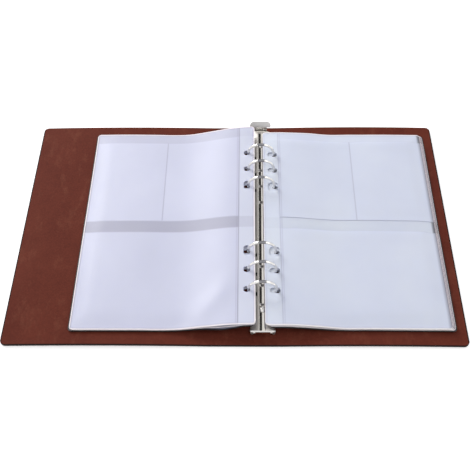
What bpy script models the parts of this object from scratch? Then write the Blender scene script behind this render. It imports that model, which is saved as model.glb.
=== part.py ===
"""Six-ring binder with frosted pocket sleeves for cutting dies, lying open with its inside up.

Metres, +Z up. The origin is on the table under the middle of the open cover. +X runs from the front
cover to the back cover and +Y runs along the spine, away from the reader.
"""

import math

import bmesh
import bpy
from mathutils import Matrix, Vector

MM = 0.001

# How far a cutter runs past the face that it leaves
PAST = 2.0 * MM

# Open cover: a soft laminate that folds on two lines, one each side of its spine
COVER_WIDTH = 368.0 * MM
COVER_HEIGHT = 232.0 * MM
COVER_CORNER = 4.5 * MM
COVER_CROWN = 1.2 * MM
SKIN = 0.8 * MM
BOARD = 1.0 * MM
LINING = 0.6 * MM
GAP = 0.3 * MM
COVER_THICK = SKIN + BOARD + LINING + 2.0 * GAP
BOARD_INSET = 3.0 * MM
FOLD_START = 7.0 * MM
SPINE_WIDTH = 28.2 * MM
SPINE_SKIN = 1.3 * MM
FOLD_END = FOLD_START - SPINE_WIDTH
LAND_END = 36.0 * MM
CROWN_STEPS = 8

# Rings: the six-hole pattern of an A5 organiser
RAIL_X = 22.9 * MM
RING_Z = 15.1 * MM
RING_RADIUS = 11.6 * MM
WIRE_RADIUS = 1.2 * MM
RING_PITCH = 19.0 * MM
MIDDLE_PITCH = 70.0 * MM
RING_START = 226.0
RING_PAST_TOP = 13.0
RING_STEPS = 14
LAP = 2.6 * MM

# Arched spring rail with a rolled hem along each side
RAIL_HALF = 9.8 * MM
RAIL_END = 107.5 * MM
RAIL_SHEET = 0.7 * MM
RAIL_SPRING_Z = 4.9 * MM
RAIL_RISE = 3.85 * MM
HEM_RADIUS = 1.6 * MM
HEM_SWEEP = 120.0
SLOT_INNER = 4.9 * MM
SLOT_FLOOR = 5.3 * MM
SLOT_WIDTH = 3.4 * MM

# Toggle blades that carry the half rings
BLADE_INNER = 0.2 * MM
BLADE_OUTER = 8.55 * MM
BLADE_LOW = 4.5 * MM
BLADE_THICK = 0.9 * MM
BLADE_END = 104.8 * MM
BLADE_PIVOT = 8.2 * MM
ROOT_OFFSET = 5.95 * MM
ROOT_KNEE_Z = 6.1 * MM
ROOT_END_Z = 4.45 * MM
ROOT_HOLE = 1.6 * MM
OPEN_ANGLE = 11.5

# End levers, stamped flat and bent up
LEVER_Y = 106.7 * MM
LEVER_Z = 5.3 * MM
LEVER_SHEET = 1.0 * MM
LEVER_RUN = 1.3 * MM
LEVER_BEND = 2.6 * MM
LEVER_TILT = 86.0
LEVER_STEM = 1.6 * MM
LEVER_TAB = 9.6 * MM
LEVER_NECK = 5.3 * MM
LEVER_HALF = 9.8 * MM
LEVER_CORNER = 4.0 * MM
LEVER_LOW_CORNER = 2.6 * MM
SHOULDER_SLOPE = 0.4 * MM
LEVER_BARREL = 1.5 * MM
BARREL_HALF = 5.6 * MM
TRUNNION_RADIUS = 0.8 * MM
TRUNNION_REACH = 7.65 * MM
TONGUE_REACH = 3.1 * MM
TONGUE_HALF = 2.0 * MM
TONGUE_LOW = 3.7 * MM
TONGUE_HIGH = 4.2 * MM

# Rivets that hold the rail to the back cover
RIVET_Y = 88.0 * MM
RIVET_SHANK = 1.5 * MM
RIVET_HEAD = 2.6 * MM
RIVET_HEAD_RISE = 1.1 * MM
RIVET_FOOT = 3.4 * MM
RIVET_FOOT_LOW = 0.1 * MM
RIVET_FOOT_HIGH = 0.6 * MM

# Sleeves: a punched backing film with a divided upper pocket row and one lower pocket
SLEEVE_WIDTH = 147.6 * MM
SLEEVE_HEIGHT = 209.5 * MM
SLEEVE_MIDDLE = -0.6 * MM
SLEEVE_CORNER = 3.0 * MM
BACKING = 0.3 * MM
POCKET_GAP = 0.3 * MM
POCKET_FILM = 0.25 * MM
SLEEVE_THICK = BACKING + POCKET_GAP + POCKET_FILM
SLEEVE_PITCH = 1.2 * MM
EDGE_TO_HOLE = 7.0 * MM
HOLE_RADIUS = 2.8 * MM
SLOT_HOLE_HALF = 2.0 * MM
SEAM = 14.1 * MM
DIVIDER = 80.6 * MM
WELD = 1.5 * MM
OUTER_WELD = 4.0 * MM
UPPER_TOP = 92.6 * MM
UPPER_BOTTOM = 1.0 * MM
LOWER_TOP = -11.2 * MM
RISE_START = 15.6 * MM
RISE_STEPS = 8
LIE_STEPS = 5

# Each stack: count, rise of the top sheet at the rings and the distance where it lies flat
BACK = 1
FRONT = -1
STACK_COUNT = {BACK: 4, FRONT: 3}
STACK_AT_RINGS = {BACK: 13.1 * MM, FRONT: 14.9 * MM}
STACK_LIES_FROM = {BACK: 72.0 * MM, FRONT: 76.0 * MM}

RING_YS = [
    side * (MIDDLE_PITCH / 2.0 + step * RING_PITCH)
    for side, step in ((1, 2), (1, 1), (1, 0), (-1, 0), (-1, 1), (-1, 2))
]


def clear_scene():
    """Remove every object that the scene starts with."""
    for item in list(bpy.data.objects):
        bpy.data.objects.remove(item, do_unlink=True)


def make_collection(name):
    """Return a new collection linked to the scene."""
    group = bpy.data.collections.new(name)
    bpy.context.scene.collection.children.link(group)
    return group


def make_material(name, colour, roughness, metallic):
    """Return a Principled material with the given linear colour."""
    made = bpy.data.materials.new(name)
    made.use_nodes = True
    shader = made.node_tree.nodes["Principled BSDF"]
    shader.inputs["Base Color"].default_value = (*colour, 1.0)
    shader.inputs["Roughness"].default_value = roughness
    shader.inputs["Metallic"].default_value = metallic
    return made


clear_scene()
PARTS = make_collection("cutting_die_binder")
CUTTERS = make_collection("cutters")
LEATHER = make_material("brown_leather", (0.115, 0.034, 0.022), 0.62, 0.0)
SUEDE = make_material("brown_lining", (0.140, 0.045, 0.031), 0.78, 0.0)
GREYBOARD = make_material("grey_board", (0.300, 0.270, 0.240), 0.90, 0.0)
CHROME = make_material("bright_nickel", (0.780, 0.770, 0.760), 0.14, 1.0)
STEEL = make_material("plain_steel", (0.550, 0.550, 0.560), 0.32, 1.0)
FILM = make_material("frosted_film", (0.720, 0.740, 0.850), 0.45, 0.0)


def smooth_step(value):
    """Ease from 0 to 1 with level ends."""
    held = min(max(value, 0.0), 1.0)
    return held * held * (3.0 - 2.0 * held)


def crown(x):
    """Return how far the cover bows up off the table at x."""
    if x < FOLD_END:
        along = (FOLD_END - x) / (FOLD_END + COVER_WIDTH / 2.0)
    elif x > LAND_END:
        along = (x - LAND_END) / (COVER_WIDTH / 2.0 - LAND_END)
    else:
        return 0.0
    return COVER_CROWN * 4.0 * along * (1.0 - along)


def spread(first, last, steps):
    """Return evenly spaced values between two ends, both included."""
    return [first + (last - first) * step / steps for step in range(steps + 1)]


def arc(centre, radius, start, end, steps):
    """Return points on an arc, with angles in degrees."""
    turns = [math.radians(angle) for angle in spread(start, end, steps)]
    return [(centre[0] + radius * math.cos(t), centre[1] + radius * math.sin(t)) for t in turns]


def add_slab(bm, low, high):
    """Add a box between two opposite corners to a mesh."""
    low = Vector(low)
    high = Vector(high)
    place = Matrix.Translation((low + high) / 2.0) @ Matrix.Diagonal((*(high - low), 1.0))
    bmesh.ops.create_cube(bm, size=1.0, matrix=place)


def add_rod(bm, centre, radius, length, axis, sides):
    """Add a closed cylinder along X, Y or Z to a mesh."""
    turn = {"X": Matrix.Rotation(math.pi / 2.0, 4, "Y"), "Y": Matrix.Rotation(math.pi / 2.0, 4, "X")}
    place = Matrix.Translation(centre) @ turn.get(axis, Matrix.Identity(4))
    bmesh.ops.create_cone(
        bm, cap_ends=True, segments=sides, radius1=radius, radius2=radius, depth=length, matrix=place
    )


def round_upright_edges(bm, radius, wanted):
    """Round the upright edges whose x passes the given test."""
    edges = []
    for edge in bm.edges:
        ends = edge.verts[0].co, edge.verts[1].co
        upright = math.hypot(ends[0].x - ends[1].x, ends[0].y - ends[1].y) < 1e-7
        if upright and wanted(ends[0].x):
            edges.append(edge)
    bmesh.ops.bevel(bm, geom=edges, offset=radius, segments=4, profile=0.5, affect="EDGES")


def cut_across(bm, stations, normal):
    """Split every face at planes across one axis, so that the sheet can bend there."""
    for station in stations:
        everything = bm.verts[:] + bm.edges[:] + bm.faces[:]
        place = Vector(normal) * station
        bmesh.ops.bisect_plane(bm, geom=everything, plane_co=place, plane_no=normal, dist=1e-7)


def add_object(name, mesh, material=None, parent=None, smooth=False):
    """Link a mesh as a named part, carried by its joint's empty where it has one."""
    made = bpy.data.objects.new(name, mesh)
    if smooth:
        mesh.shade_smooth()
        mesh.set_sharp_from_angle(angle=math.radians(35.0))
    if material is not None:
        mesh.materials.clear()
        mesh.materials.append(material)
    PARTS.objects.link(made)
    if parent is not None:
        made.parent = parent
        made.matrix_parent_inverse = Matrix.Translation(parent["pivot"]).inverted()
    return made


def mesh_of(bm, name):
    """Turn a bmesh into a mesh with its faces pointing out."""
    bmesh.ops.recalc_face_normals(bm, faces=bm.faces[:])
    mesh = bpy.data.meshes.new(name)
    bm.to_mesh(mesh)
    bm.free()
    return mesh


def add_cutter(name, bm):
    """Link a mesh as a hidden cutter."""
    made = bpy.data.objects.new(name, mesh_of(bm, name))
    made.hide_render = True
    made.display_type = "WIRE"
    CUTTERS.objects.link(made)
    return made


def add_boolean(target, tool, operation="DIFFERENCE", crossing=False):
    """Cut or join a part with another mesh."""
    change = target.modifiers.new(tool.name, "BOOLEAN")
    change.operation = operation
    change.solver = "EXACT"
    change.object = tool
    change.use_self = crossing


def evaluated_copy(source):
    """Return a welded bmesh of an object as its modifiers or bevel shape it."""
    graph = bpy.context.evaluated_depsgraph_get()
    mesh = bpy.data.meshes.new_from_object(source.evaluated_get(graph))
    bm = bmesh.new()
    bm.from_mesh(mesh)
    bm.transform(source.matrix_world)
    bmesh.ops.remove_doubles(bm, verts=bm.verts[:], dist=1e-6)
    bpy.data.meshes.remove(mesh)
    return bm


def add_outline(name, points, half_depth):
    """Return a filled flat outline, extruded both ways along its own Z."""
    curve = bpy.data.curves.new(name, "CURVE")
    curve.dimensions = "2D"
    curve.fill_mode = "BOTH"
    curve.extrude = half_depth
    spline = curve.splines.new("POLY")
    spline.points.add(len(points) - 1)
    for point, place in zip(spline.points, points):
        point.co = (place[0], place[1], 0.0, 1.0)
    spline.use_cyclic_u = True
    made = bpy.data.objects.new(name, curve)
    CUTTERS.objects.link(made)
    return made


def solid_from_outline(name, points, half_depth, turn):
    """Return a bmesh of an extruded outline, turned into place."""
    outline = add_outline(name + "_outline", points, half_depth)
    outline.matrix_world = turn
    bpy.context.view_layer.update()
    bm = evaluated_copy(outline)
    bpy.data.objects.remove(outline, do_unlink=True)
    bmesh.ops.dissolve_limit(bm, angle_limit=math.radians(0.1), verts=bm.verts[:], edges=bm.edges[:])
    return bm


def add_pivot(name, place, parent=None):
    """Add an empty on a joint's axis, to carry the pieces that turn about it."""
    made = bpy.data.objects.new(name, None)
    made.empty_display_size = 0.01
    made["pivot"] = place
    PARTS.objects.link(made)
    if parent is None:
        made.location = place
    else:
        made.parent = parent
        made.location = Vector(place) - Vector(parent["pivot"])
    return made


def cover_layer(name, ends, heights, inset, material, parent):
    """Make one layer of a cover half, bowed up, with its two outer corners rounded."""
    half_height = COVER_HEIGHT / 2.0 - inset
    bm = bmesh.new()
    add_slab(bm, (ends[0], -half_height, heights[0]), (ends[1], half_height, heights[1]))
    outer = max(ends, key=abs)
    round_upright_edges(bm, COVER_CORNER - inset / 2.0, lambda x: abs(x - outer) < 1e-6)
    bowed_from = LAND_END if outer > 0.0 else FOLD_END
    cut_across(bm, spread(bowed_from, outer, CROWN_STEPS)[:-1], (1.0, 0.0, 0.0))
    for vert in bm.verts:
        vert.co.z += crown(vert.co.x)
    return add_object(name, mesh_of(bm, name), material, parent)


def cover_half(name, ends, parent):
    """Make the skin, board and lining of one cover half and return them."""
    outer = max(ends, key=abs)
    inner = min(ends, key=abs)
    away = math.copysign(1.0, outer)
    board_ends = (inner + away * BOARD_INSET, outer - away * BOARD_INSET)
    board_low = SKIN + GAP
    lining_low = COVER_THICK - LINING
    return [
        cover_layer(name + "_skin", ends, (0.0, SKIN), 0.0, LEATHER, parent),
        cover_layer(name + "_board", sorted(board_ends), (board_low, board_low + BOARD), BOARD_INSET,
                    GREYBOARD, parent),
        cover_layer(name + "_lining", ends, (lining_low, COVER_THICK), 0.0, SUEDE, parent),
    ]


def build_spine(parent):
    """Make the skin and lining of the spine, between its two fold lines."""
    low = FOLD_END + GAP / 2.0
    high = FOLD_START - GAP / 2.0
    layers = (
        ("spine_skin", 0.0, SPINE_SKIN, LEATHER),
        ("spine_lining", SPINE_SKIN + GAP, COVER_THICK, SUEDE),
    )
    for name, bottom, top, material in layers:
        bm = bmesh.new()
        add_slab(bm, (low, -COVER_HEIGHT / 2.0, bottom), (high, COVER_HEIGHT / 2.0, top))
        add_object(name, mesh_of(bm, name), material, parent)


def build_cover():
    """Make the back half, the spine and the front half on their fold lines."""
    edge = COVER_WIDTH / 2.0
    back = cover_half("back_cover", (FOLD_START + GAP / 2.0, edge), None)
    spine_pivot = add_pivot("spine_fold", (FOLD_START, 0.0, COVER_THICK))
    build_spine(spine_pivot)
    front_pivot = add_pivot("front_cover_fold", (FOLD_END, 0.0, COVER_THICK), spine_pivot)
    cover_half("front_cover", (-edge, FOLD_END - GAP / 2.0), front_pivot)
    return back


def rail_half_outline():
    """Return the rail's right-hand section from the hem's lip over the top, then back underneath."""
    hem = (RAIL_HALF - HEM_RADIUS, RAIL_SPRING_Z)
    outer = arc(hem, HEM_RADIUS, -HEM_SWEEP, 0.0, 6)
    inner = arc(hem, HEM_RADIUS - RAIL_SHEET, 0.0, -HEM_SWEEP, 5)
    angles = [math.radians(angle) for angle in spread(0.0, 90.0, 7)][1:]
    over = [(RAIL_HALF * math.cos(t), RAIL_SPRING_Z + RAIL_RISE * math.sin(t)) for t in angles]
    thin_half = RAIL_HALF - RAIL_SHEET
    thin_rise = RAIL_RISE - RAIL_SHEET
    under = [(thin_half * math.cos(t), RAIL_SPRING_Z + thin_rise * math.sin(t)) for t in reversed(angles)]
    return outer + over, under + inner


def build_rail():
    """Make the arched rail with its rolled hems, ring slots and rivet holes."""
    outside, inside = rail_half_outline()
    left_outside = [(-x, z) for x, z in reversed(outside)]
    left_inside = [(-x, z) for x, z in reversed(inside)]
    points = outside + left_outside[1:] + left_inside + inside[1:]
    turn = Matrix.Translation((RAIL_X, 0.0, 0.0)) @ Matrix.Rotation(math.pi / 2.0, 4, "X")
    bm = solid_from_outline("ring_rail", points, RAIL_END, turn)
    rail = add_object("ring_rail", mesh_of(bm, "ring_rail"), CHROME, None, True)

    slots = bmesh.new()
    for y in RING_YS:
        for side in (FRONT, BACK):
            ends = sorted((RAIL_X + side * SLOT_INNER, RAIL_X + side * (RAIL_HALF + PAST)))
            low = (ends[0], y - SLOT_WIDTH / 2.0, SLOT_FLOOR)
            high = (ends[1], y + SLOT_WIDTH / 2.0, RAIL_SPRING_Z + RAIL_RISE + PAST)
            add_slab(slots, low, high)
    add_boolean(rail, add_cutter("rail_slots", slots))
    return rail


def half_ring_path(side):
    """Return the wire's path from its root in the blade, round the ring and past the top."""
    top = 90.0 - RING_PAST_TOP
    ring = arc((0.0, RING_Z), RING_RADIUS, RING_START, top, RING_STEPS)
    root = [(-ROOT_OFFSET, ROOT_END_Z), (-ROOT_OFFSET, ROOT_KNEE_Z)]
    return [(RAIL_X - side * x, z) for x, z in root + ring]


def half_ring(name, side, y, pivot):
    """Make one half ring as a bent wire whose tip laps beside the other half's tip."""
    path = half_ring_path(side)
    curve = bpy.data.curves.new(name, "CURVE")
    curve.dimensions = "3D"
    curve.bevel_depth = WIRE_RADIUS
    curve.bevel_resolution = 2
    curve.use_fill_caps = True
    spline = curve.splines.new("POLY")
    spline.points.add(len(path) - 1)
    for point, (x, z) in zip(spline.points, path):
        point.co = (x, y, z, 1.0)
    wire = bpy.data.objects.new(name + "_wire", curve)
    CUTTERS.objects.link(wire)
    bpy.context.view_layer.update()
    bm = evaluated_copy(wire)
    bpy.data.objects.remove(wire, do_unlink=True)
    ring = add_object(name, mesh_of(bm, name), CHROME, pivot, True)

    # Half of the wire is cut away over the lap, on opposite sides of the ring's plane
    lap = bmesh.new()
    reach = sorted((RAIL_X + side * (LAP + GAP), RAIL_X - side * 3.0 * LAP))
    depth = sorted((y - side * GAP / 2.0, y + side * 2.0 * WIRE_RADIUS))
    low = RING_Z + RING_RADIUS - 3.0 * WIRE_RADIUS
    high = RING_Z + RING_RADIUS + 3.0 * WIRE_RADIUS
    add_slab(lap, (reach[0], depth[0], low), (reach[1], depth[1], high))
    add_boolean(ring, add_cutter(name + "_lap", lap))


def blade(name, side, pivot):
    """Make one toggle blade with holes for the ring roots and notches round the rivets."""
    bm = bmesh.new()
    ends = sorted((RAIL_X + side * BLADE_INNER, RAIL_X + side * BLADE_OUTER))
    add_slab(bm, (ends[0], -BLADE_END, BLADE_LOW), (ends[1], BLADE_END, BLADE_LOW + BLADE_THICK))
    made = add_object(name, mesh_of(bm, name), STEEL, pivot)
    holes = bmesh.new()
    for y in RING_YS:
        place = (RAIL_X + side * ROOT_OFFSET, y, BLADE_LOW)
        add_rod(holes, place, ROOT_HOLE, 8.0 * BLADE_THICK, "Z", 12)
    for y in (RIVET_Y, -RIVET_Y):
        add_rod(holes, (RAIL_X, y, BLADE_LOW), RIVET_SHANK + 2.0 * GAP, 8.0 * BLADE_THICK, "Z", 16)
    add_boolean(made, add_cutter(name + "_holes", holes))


def build_rings():
    """Make both blades with their six half rings on the hinge lines inside the hems."""
    for side, word in ((FRONT, "left"), (BACK, "right")):
        line = (RAIL_X + side * BLADE_PIVOT, 0.0, BLADE_LOW + BLADE_THICK / 2.0)
        pivot = add_pivot(f"{word}_blade_hinge", line)
        blade(f"{word}_blade", side, pivot)
        for number, y in enumerate(RING_YS, start=1):
            half_ring(f"{word}_half_ring_{number}", side, y, pivot)


def lever_outline():
    """Return the lever's flat blank: a neck up past the bend and a wide tab with round corners."""
    bend_end = LEVER_RUN + LEVER_BEND * math.radians(LEVER_TILT)
    shoulder = bend_end + LEVER_STEM
    tip = bend_end + LEVER_TAB
    low_corner = (LEVER_HALF - LEVER_LOW_CORNER, shoulder + LEVER_LOW_CORNER)
    corner = (LEVER_HALF - LEVER_CORNER, tip - LEVER_CORNER)
    right = [(LEVER_NECK, 0.0), (LEVER_NECK, shoulder - SHOULDER_SLOPE)]
    right += arc(low_corner, LEVER_LOW_CORNER, -90.0, 0.0, 4)
    right += arc(corner, LEVER_CORNER, 0.0, 90.0, 5)
    return right + [(-x, s) for x, s in reversed(right)]


def bent_lever_point(flat):
    """Bend a point of the flat blank: straight out of the rail, round, then up along the tab."""
    along = flat.y
    tilt = math.radians(LEVER_TILT)
    turned = min(max((along - LEVER_RUN) / LEVER_BEND, 0.0), tilt)
    straight = along - LEVER_BEND * turned
    run = min(straight, LEVER_RUN)
    rise = straight - run
    out = run + LEVER_BEND * math.sin(turned) + rise * math.cos(turned)
    up = LEVER_BEND * (1.0 - math.cos(turned)) + rise * math.sin(turned)
    normal = (-math.sin(turned), math.cos(turned))
    return Vector((flat.x, out + normal[0] * flat.z, up + normal[1] * flat.z))


def lever(name, side):
    """Make one end lever: bent tab, barrel with trunnions, and a tongue under the blades."""
    bm = solid_from_outline(name, lever_outline(), LEVER_SHEET / 2.0, Matrix.Identity(4))
    bends = spread(LEVER_RUN, LEVER_RUN + LEVER_BEND * math.radians(LEVER_TILT), 5)
    cut_across(bm, bends, (0.0, 1.0, 0.0))
    place = Matrix.Translation((RAIL_X, side * LEVER_Y, LEVER_Z))
    if side < 0:
        place = place @ Matrix.Rotation(math.pi, 4, "Z")
    for vert in bm.verts:
        vert.co = place @ bent_lever_point(vert.co)
    pivot = add_pivot(name + "_hinge", (RAIL_X, side * LEVER_Y, LEVER_Z))
    made = add_object(name, mesh_of(bm, name), CHROME, pivot, True)

    axle = bmesh.new()
    add_rod(axle, (RAIL_X, side * LEVER_Y, LEVER_Z), LEVER_BARREL, 2.0 * BARREL_HALF, "X", 16)
    add_boolean(made, add_cutter(name + "_barrel", axle), "UNION")
    pin = bmesh.new()
    add_rod(pin, (RAIL_X, side * LEVER_Y, LEVER_Z), TRUNNION_RADIUS, 2.0 * TRUNNION_REACH, "X", 12)
    add_boolean(made, add_cutter(name + "_trunnions", pin), "UNION")
    tongue = bmesh.new()
    ends = sorted((side * LEVER_Y, side * (LEVER_Y - TONGUE_REACH)))
    low = (RAIL_X - TONGUE_HALF, ends[0], TONGUE_LOW)
    high = (RAIL_X + TONGUE_HALF, ends[1], TONGUE_HIGH)
    add_slab(tongue, low, high)
    add_boolean(made, add_cutter(name + "_tongue", tongue), "UNION")


def rivet(name, y):
    """Make one rivet: domed head on the rail, shank, and a flat foot let into the skin."""
    rail_top = RAIL_SPRING_Z + RAIL_RISE
    head_low = rail_top + GAP / 2.0
    dome = [
        (RIVET_HEAD * math.cos(t), head_low + RIVET_HEAD_RISE * math.sin(t))
        for t in [math.radians(angle) for angle in spread(90.0, 0.0, 4)]
    ]
    dome[0] = (0.0, dome[0][1])
    profile = dome + [
        (RIVET_SHANK, head_low),
        (RIVET_SHANK, RIVET_FOOT_HIGH),
        (RIVET_FOOT, RIVET_FOOT_HIGH),
        (RIVET_FOOT, RIVET_FOOT_LOW),
        (0.0, RIVET_FOOT_LOW),
    ]
    mesh = bpy.data.meshes.new(name)
    edges = [(index, index + 1) for index in range(len(profile) - 1)]
    mesh.from_pydata([(x, 0.0, z) for x, z in profile], edges, [])
    made = add_object(name, mesh, CHROME, None)
    made.location = (RAIL_X, y, 0.0)
    spin = made.modifiers.new("turn", "SCREW")
    spin.steps = 16
    spin.render_steps = 16
    spin.use_merge_vertices = True
    spin.merge_threshold = 0.00001
    spin.use_smooth_shade = True


def build_rivets(back_layers, rail):
    """Make both rivets and their holes through the rail and the back cover's layers."""
    rail_top = RAIL_SPRING_Z + RAIL_RISE
    through = bmesh.new()
    recess = bmesh.new()
    for y in (RIVET_Y, -RIVET_Y):
        add_rod(through, (RAIL_X, y, 0.0), RIVET_SHANK + GAP, 2.0 * (rail_top + PAST), "Z", 16)
        add_rod(recess, (RAIL_X, y, 0.0), RIVET_FOOT + GAP, 2.0 * (SKIN + GAP), "Z", 16)
    through = add_cutter("rivet_holes", through)
    recess = add_cutter("rivet_recesses", recess)
    skin, board, lining = back_layers
    add_boolean(skin, recess)
    for layer in (board, lining, rail):
        add_boolean(layer, through)
    rivet("far_rivet", RIVET_Y)
    rivet("near_rivet", -RIVET_Y)


def punch_holes():
    """Return the punches for the ring holes: round, and long for the middle pair."""
    punch = bmesh.new()
    for y in RING_YS:
        long_hole = abs(y) < MIDDLE_PITCH / 2.0 + MM
        start = len(punch.verts)
        add_rod(punch, (EDGE_TO_HOLE, y, 0.0), HOLE_RADIUS, 2.0 * PAST, "Z", 12)
        punch.verts.ensure_lookup_table()
        for vert in punch.verts[start:]:
            if long_hole and abs(vert.co.y - y) > 1e-6:
                vert.co.y += math.copysign(SLOT_HOLE_HALF, vert.co.y - y)
    return punch


def flat_sleeve():
    """Return a sleeve cut and welded flat: X from its punched edge, Z through its films."""
    bm = bmesh.new()
    top = SLEEVE_MIDDLE + SLEEVE_HEIGHT / 2.0
    foot = SLEEVE_MIDDLE - SLEEVE_HEIGHT / 2.0
    add_slab(bm, (0.0, foot, 0.0), (SLEEVE_WIDTH, top, SLEEVE_THICK))
    round_upright_edges(bm, SLEEVE_CORNER, lambda x: True)
    flat = add_object("flat_sleeve", mesh_of(bm, "flat_sleeve"))

    # The pocket film is missing over the punched margin and the two strips
    bare = bmesh.new()
    past_edge = SLEEVE_WIDTH + PAST
    add_slab(bare, (-PAST, foot - PAST, BACKING), (SEAM, top + PAST, PAST))
    add_slab(bare, (SEAM - PAST, UPPER_TOP, BACKING), (past_edge, top + PAST, PAST))
    add_slab(bare, (SEAM - PAST, LOWER_TOP, BACKING), (past_edge, UPPER_BOTTOM, PAST))
    add_boolean(flat, add_cutter("bare_margin", bare), crossing=True)

    # Each pocket is closed by welds on three sides and open at its top
    pockets = bmesh.new()
    outer = SLEEVE_WIDTH - OUTER_WELD
    roof = BACKING + POCKET_GAP
    upper = UPPER_BOTTOM + WELD
    add_slab(pockets, (SEAM + WELD, upper, BACKING), (DIVIDER - WELD / 2.0, UPPER_TOP + PAST, roof))
    add_slab(pockets, (DIVIDER + WELD / 2.0, upper, BACKING), (outer, UPPER_TOP + PAST, roof))
    add_slab(pockets, (SEAM + WELD, foot + WELD, BACKING), (outer, LOWER_TOP + PAST, roof))
    add_boolean(flat, add_cutter("pocket_hollows", pockets))
    add_boolean(flat, add_cutter("ring_punches", punch_holes()))

    bpy.context.view_layer.update()
    cut = evaluated_copy(flat)
    bpy.data.objects.remove(flat, do_unlink=True)
    return mesh_of(cut, "flat_sleeve")


def rest_height(side, x):
    """Return the height of the top sheet's underside: level at the rings, then down onto the cover."""
    count = STACK_COUNT[side]
    lies = COVER_THICK + crown(x) + GAP + (count - 1) * SLEEVE_PITCH
    away = (abs(x - RAIL_X) - RISE_START) / (STACK_LIES_FROM[side] - RISE_START)
    at_rings = STACK_AT_RINGS[side]
    return at_rings + (lies - at_rings) * smooth_step(away)


def wire_offset(height):
    """Return how far a ring's wire is from the rail's middle at a height."""
    return math.sqrt(RING_RADIUS ** 2 - (RING_Z - height) ** 2)


def hole_offset(side, height):
    """Return a hole's distance from the rail's middle, halfway along the wire's opening travel.

    A front sheet is also turned over with the closed cover, where it meets the rings higher up.
    """
    meets_at = height if side == BACK else 2.0 * RING_Z - height
    lever_arm = meets_at - (BLADE_LOW + BLADE_THICK / 2.0)
    travel = lever_arm * math.sin(math.radians(OPEN_ANGLE))
    return wire_offset(height) + travel / 2.0


def sleeve(name, side, below_top, flat, pivot):
    """Lay a copy of the flat sleeve on its resting curve, punched edge at the rings."""
    drop = below_top * SLEEVE_PITCH
    inner = RAIL_X + side * (hole_offset(side, STACK_AT_RINGS[side] - drop) - EDGE_TO_HOLE)
    bm = bmesh.new()
    bm.from_mesh(flat)
    if side == FRONT:
        turn = Matrix.Rotation(math.pi, 4, "Y")
        bm.transform(Matrix.Translation((inner, 0.0, SLEEVE_THICK)) @ turn)
    else:
        bm.transform(Matrix.Translation((inner, 0.0, 0.0)))
    rise = spread(RISE_START, STACK_LIES_FROM[side], RISE_STEPS)
    edge = abs(inner + side * SLEEVE_WIDTH - RAIL_X)
    lie = spread(STACK_LIES_FROM[side], edge, LIE_STEPS)[1:-1]
    cut_across(bm, [RAIL_X + side * away for away in rise + lie], (1.0, 0.0, 0.0))
    for vert in bm.verts:
        vert.co.z += rest_height(side, vert.co.x) - drop
    add_object(name, mesh_of(bm, name), FILM, pivot)


def build_sleeves():
    """Make both stacks. A back sheet is carried by the sheet below it, as pages turn."""
    flat = flat_sleeve()
    ring_axis = (RAIL_X, 0.0, RING_Z)
    pivot = add_pivot("front_sleeves_turn", ring_axis)
    for level in range(STACK_COUNT[FRONT]):
        sleeve(f"front_sleeve_{level + 1}", FRONT, level, flat, pivot)
    pivot = None
    for level in reversed(range(STACK_COUNT[BACK])):
        pivot = add_pivot(f"back_sleeve_{level + 1}_turn", ring_axis, pivot)
        sleeve(f"back_sleeve_{level + 1}", BACK, level, flat, pivot)


def build():
    """Make the whole binder."""
    back_layers = build_cover()
    rail = build_rail()
    build_rings()
    lever("far_lever", 1)
    lever("near_lever", -1)
    build_rivets(back_layers, rail)
    build_sleeves()
    bpy.context.view_layer.update()


build()
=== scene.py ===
"""Looks for a six-ring pocket binder that lies open with its inside up.

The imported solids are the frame: metres, +Z up, +X from the front cover to the back cover and +Y along the
spine, away from the reader. Every new piece is a surface worked out with numpy and laid on that frame.
"""

import logging
import math
from dataclasses import dataclass, field
from enum import Enum

import bmesh
import bpy
import numpy as np
from mathutils import Matrix, Vector

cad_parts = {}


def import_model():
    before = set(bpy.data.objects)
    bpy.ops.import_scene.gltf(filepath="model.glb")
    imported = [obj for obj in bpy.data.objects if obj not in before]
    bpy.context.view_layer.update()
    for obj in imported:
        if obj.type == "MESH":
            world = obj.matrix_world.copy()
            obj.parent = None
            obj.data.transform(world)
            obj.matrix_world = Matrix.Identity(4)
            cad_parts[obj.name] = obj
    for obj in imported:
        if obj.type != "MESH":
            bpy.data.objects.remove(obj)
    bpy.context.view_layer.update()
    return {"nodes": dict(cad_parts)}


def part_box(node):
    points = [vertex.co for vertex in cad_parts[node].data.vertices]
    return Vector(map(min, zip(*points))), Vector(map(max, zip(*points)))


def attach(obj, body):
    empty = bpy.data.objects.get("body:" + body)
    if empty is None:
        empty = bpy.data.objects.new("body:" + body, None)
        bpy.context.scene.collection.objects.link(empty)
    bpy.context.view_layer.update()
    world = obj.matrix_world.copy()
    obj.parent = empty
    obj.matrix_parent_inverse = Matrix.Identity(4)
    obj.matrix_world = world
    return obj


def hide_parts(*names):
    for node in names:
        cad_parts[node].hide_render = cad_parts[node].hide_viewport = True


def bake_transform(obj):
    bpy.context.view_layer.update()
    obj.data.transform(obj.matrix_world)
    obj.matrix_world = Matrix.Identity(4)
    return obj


LOG = logging.getLogger("binder")
MM = 0.001
QUARTER = math.pi / 2.0
TURN = 2.0 * math.pi
MERGE = 2e-6
TINY = 1e-7
RING_YS = np.array([73.0, 54.0, 35.0, -35.0, -54.0, -73.0]) * MM
RAIL_X = 22.9 * MM
FOLD_START = 7.0 * MM
FOLD_END = -21.2 * MM


class Side(Enum):
    """The two stacks of sleeves, with the direction in which their sheets run from the rings."""

    FRONT = -1
    BACK = 1


class End(Enum):
    """The two ends of the ring rail, with their direction along Y."""

    NEAR = -1
    FAR = 1


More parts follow.
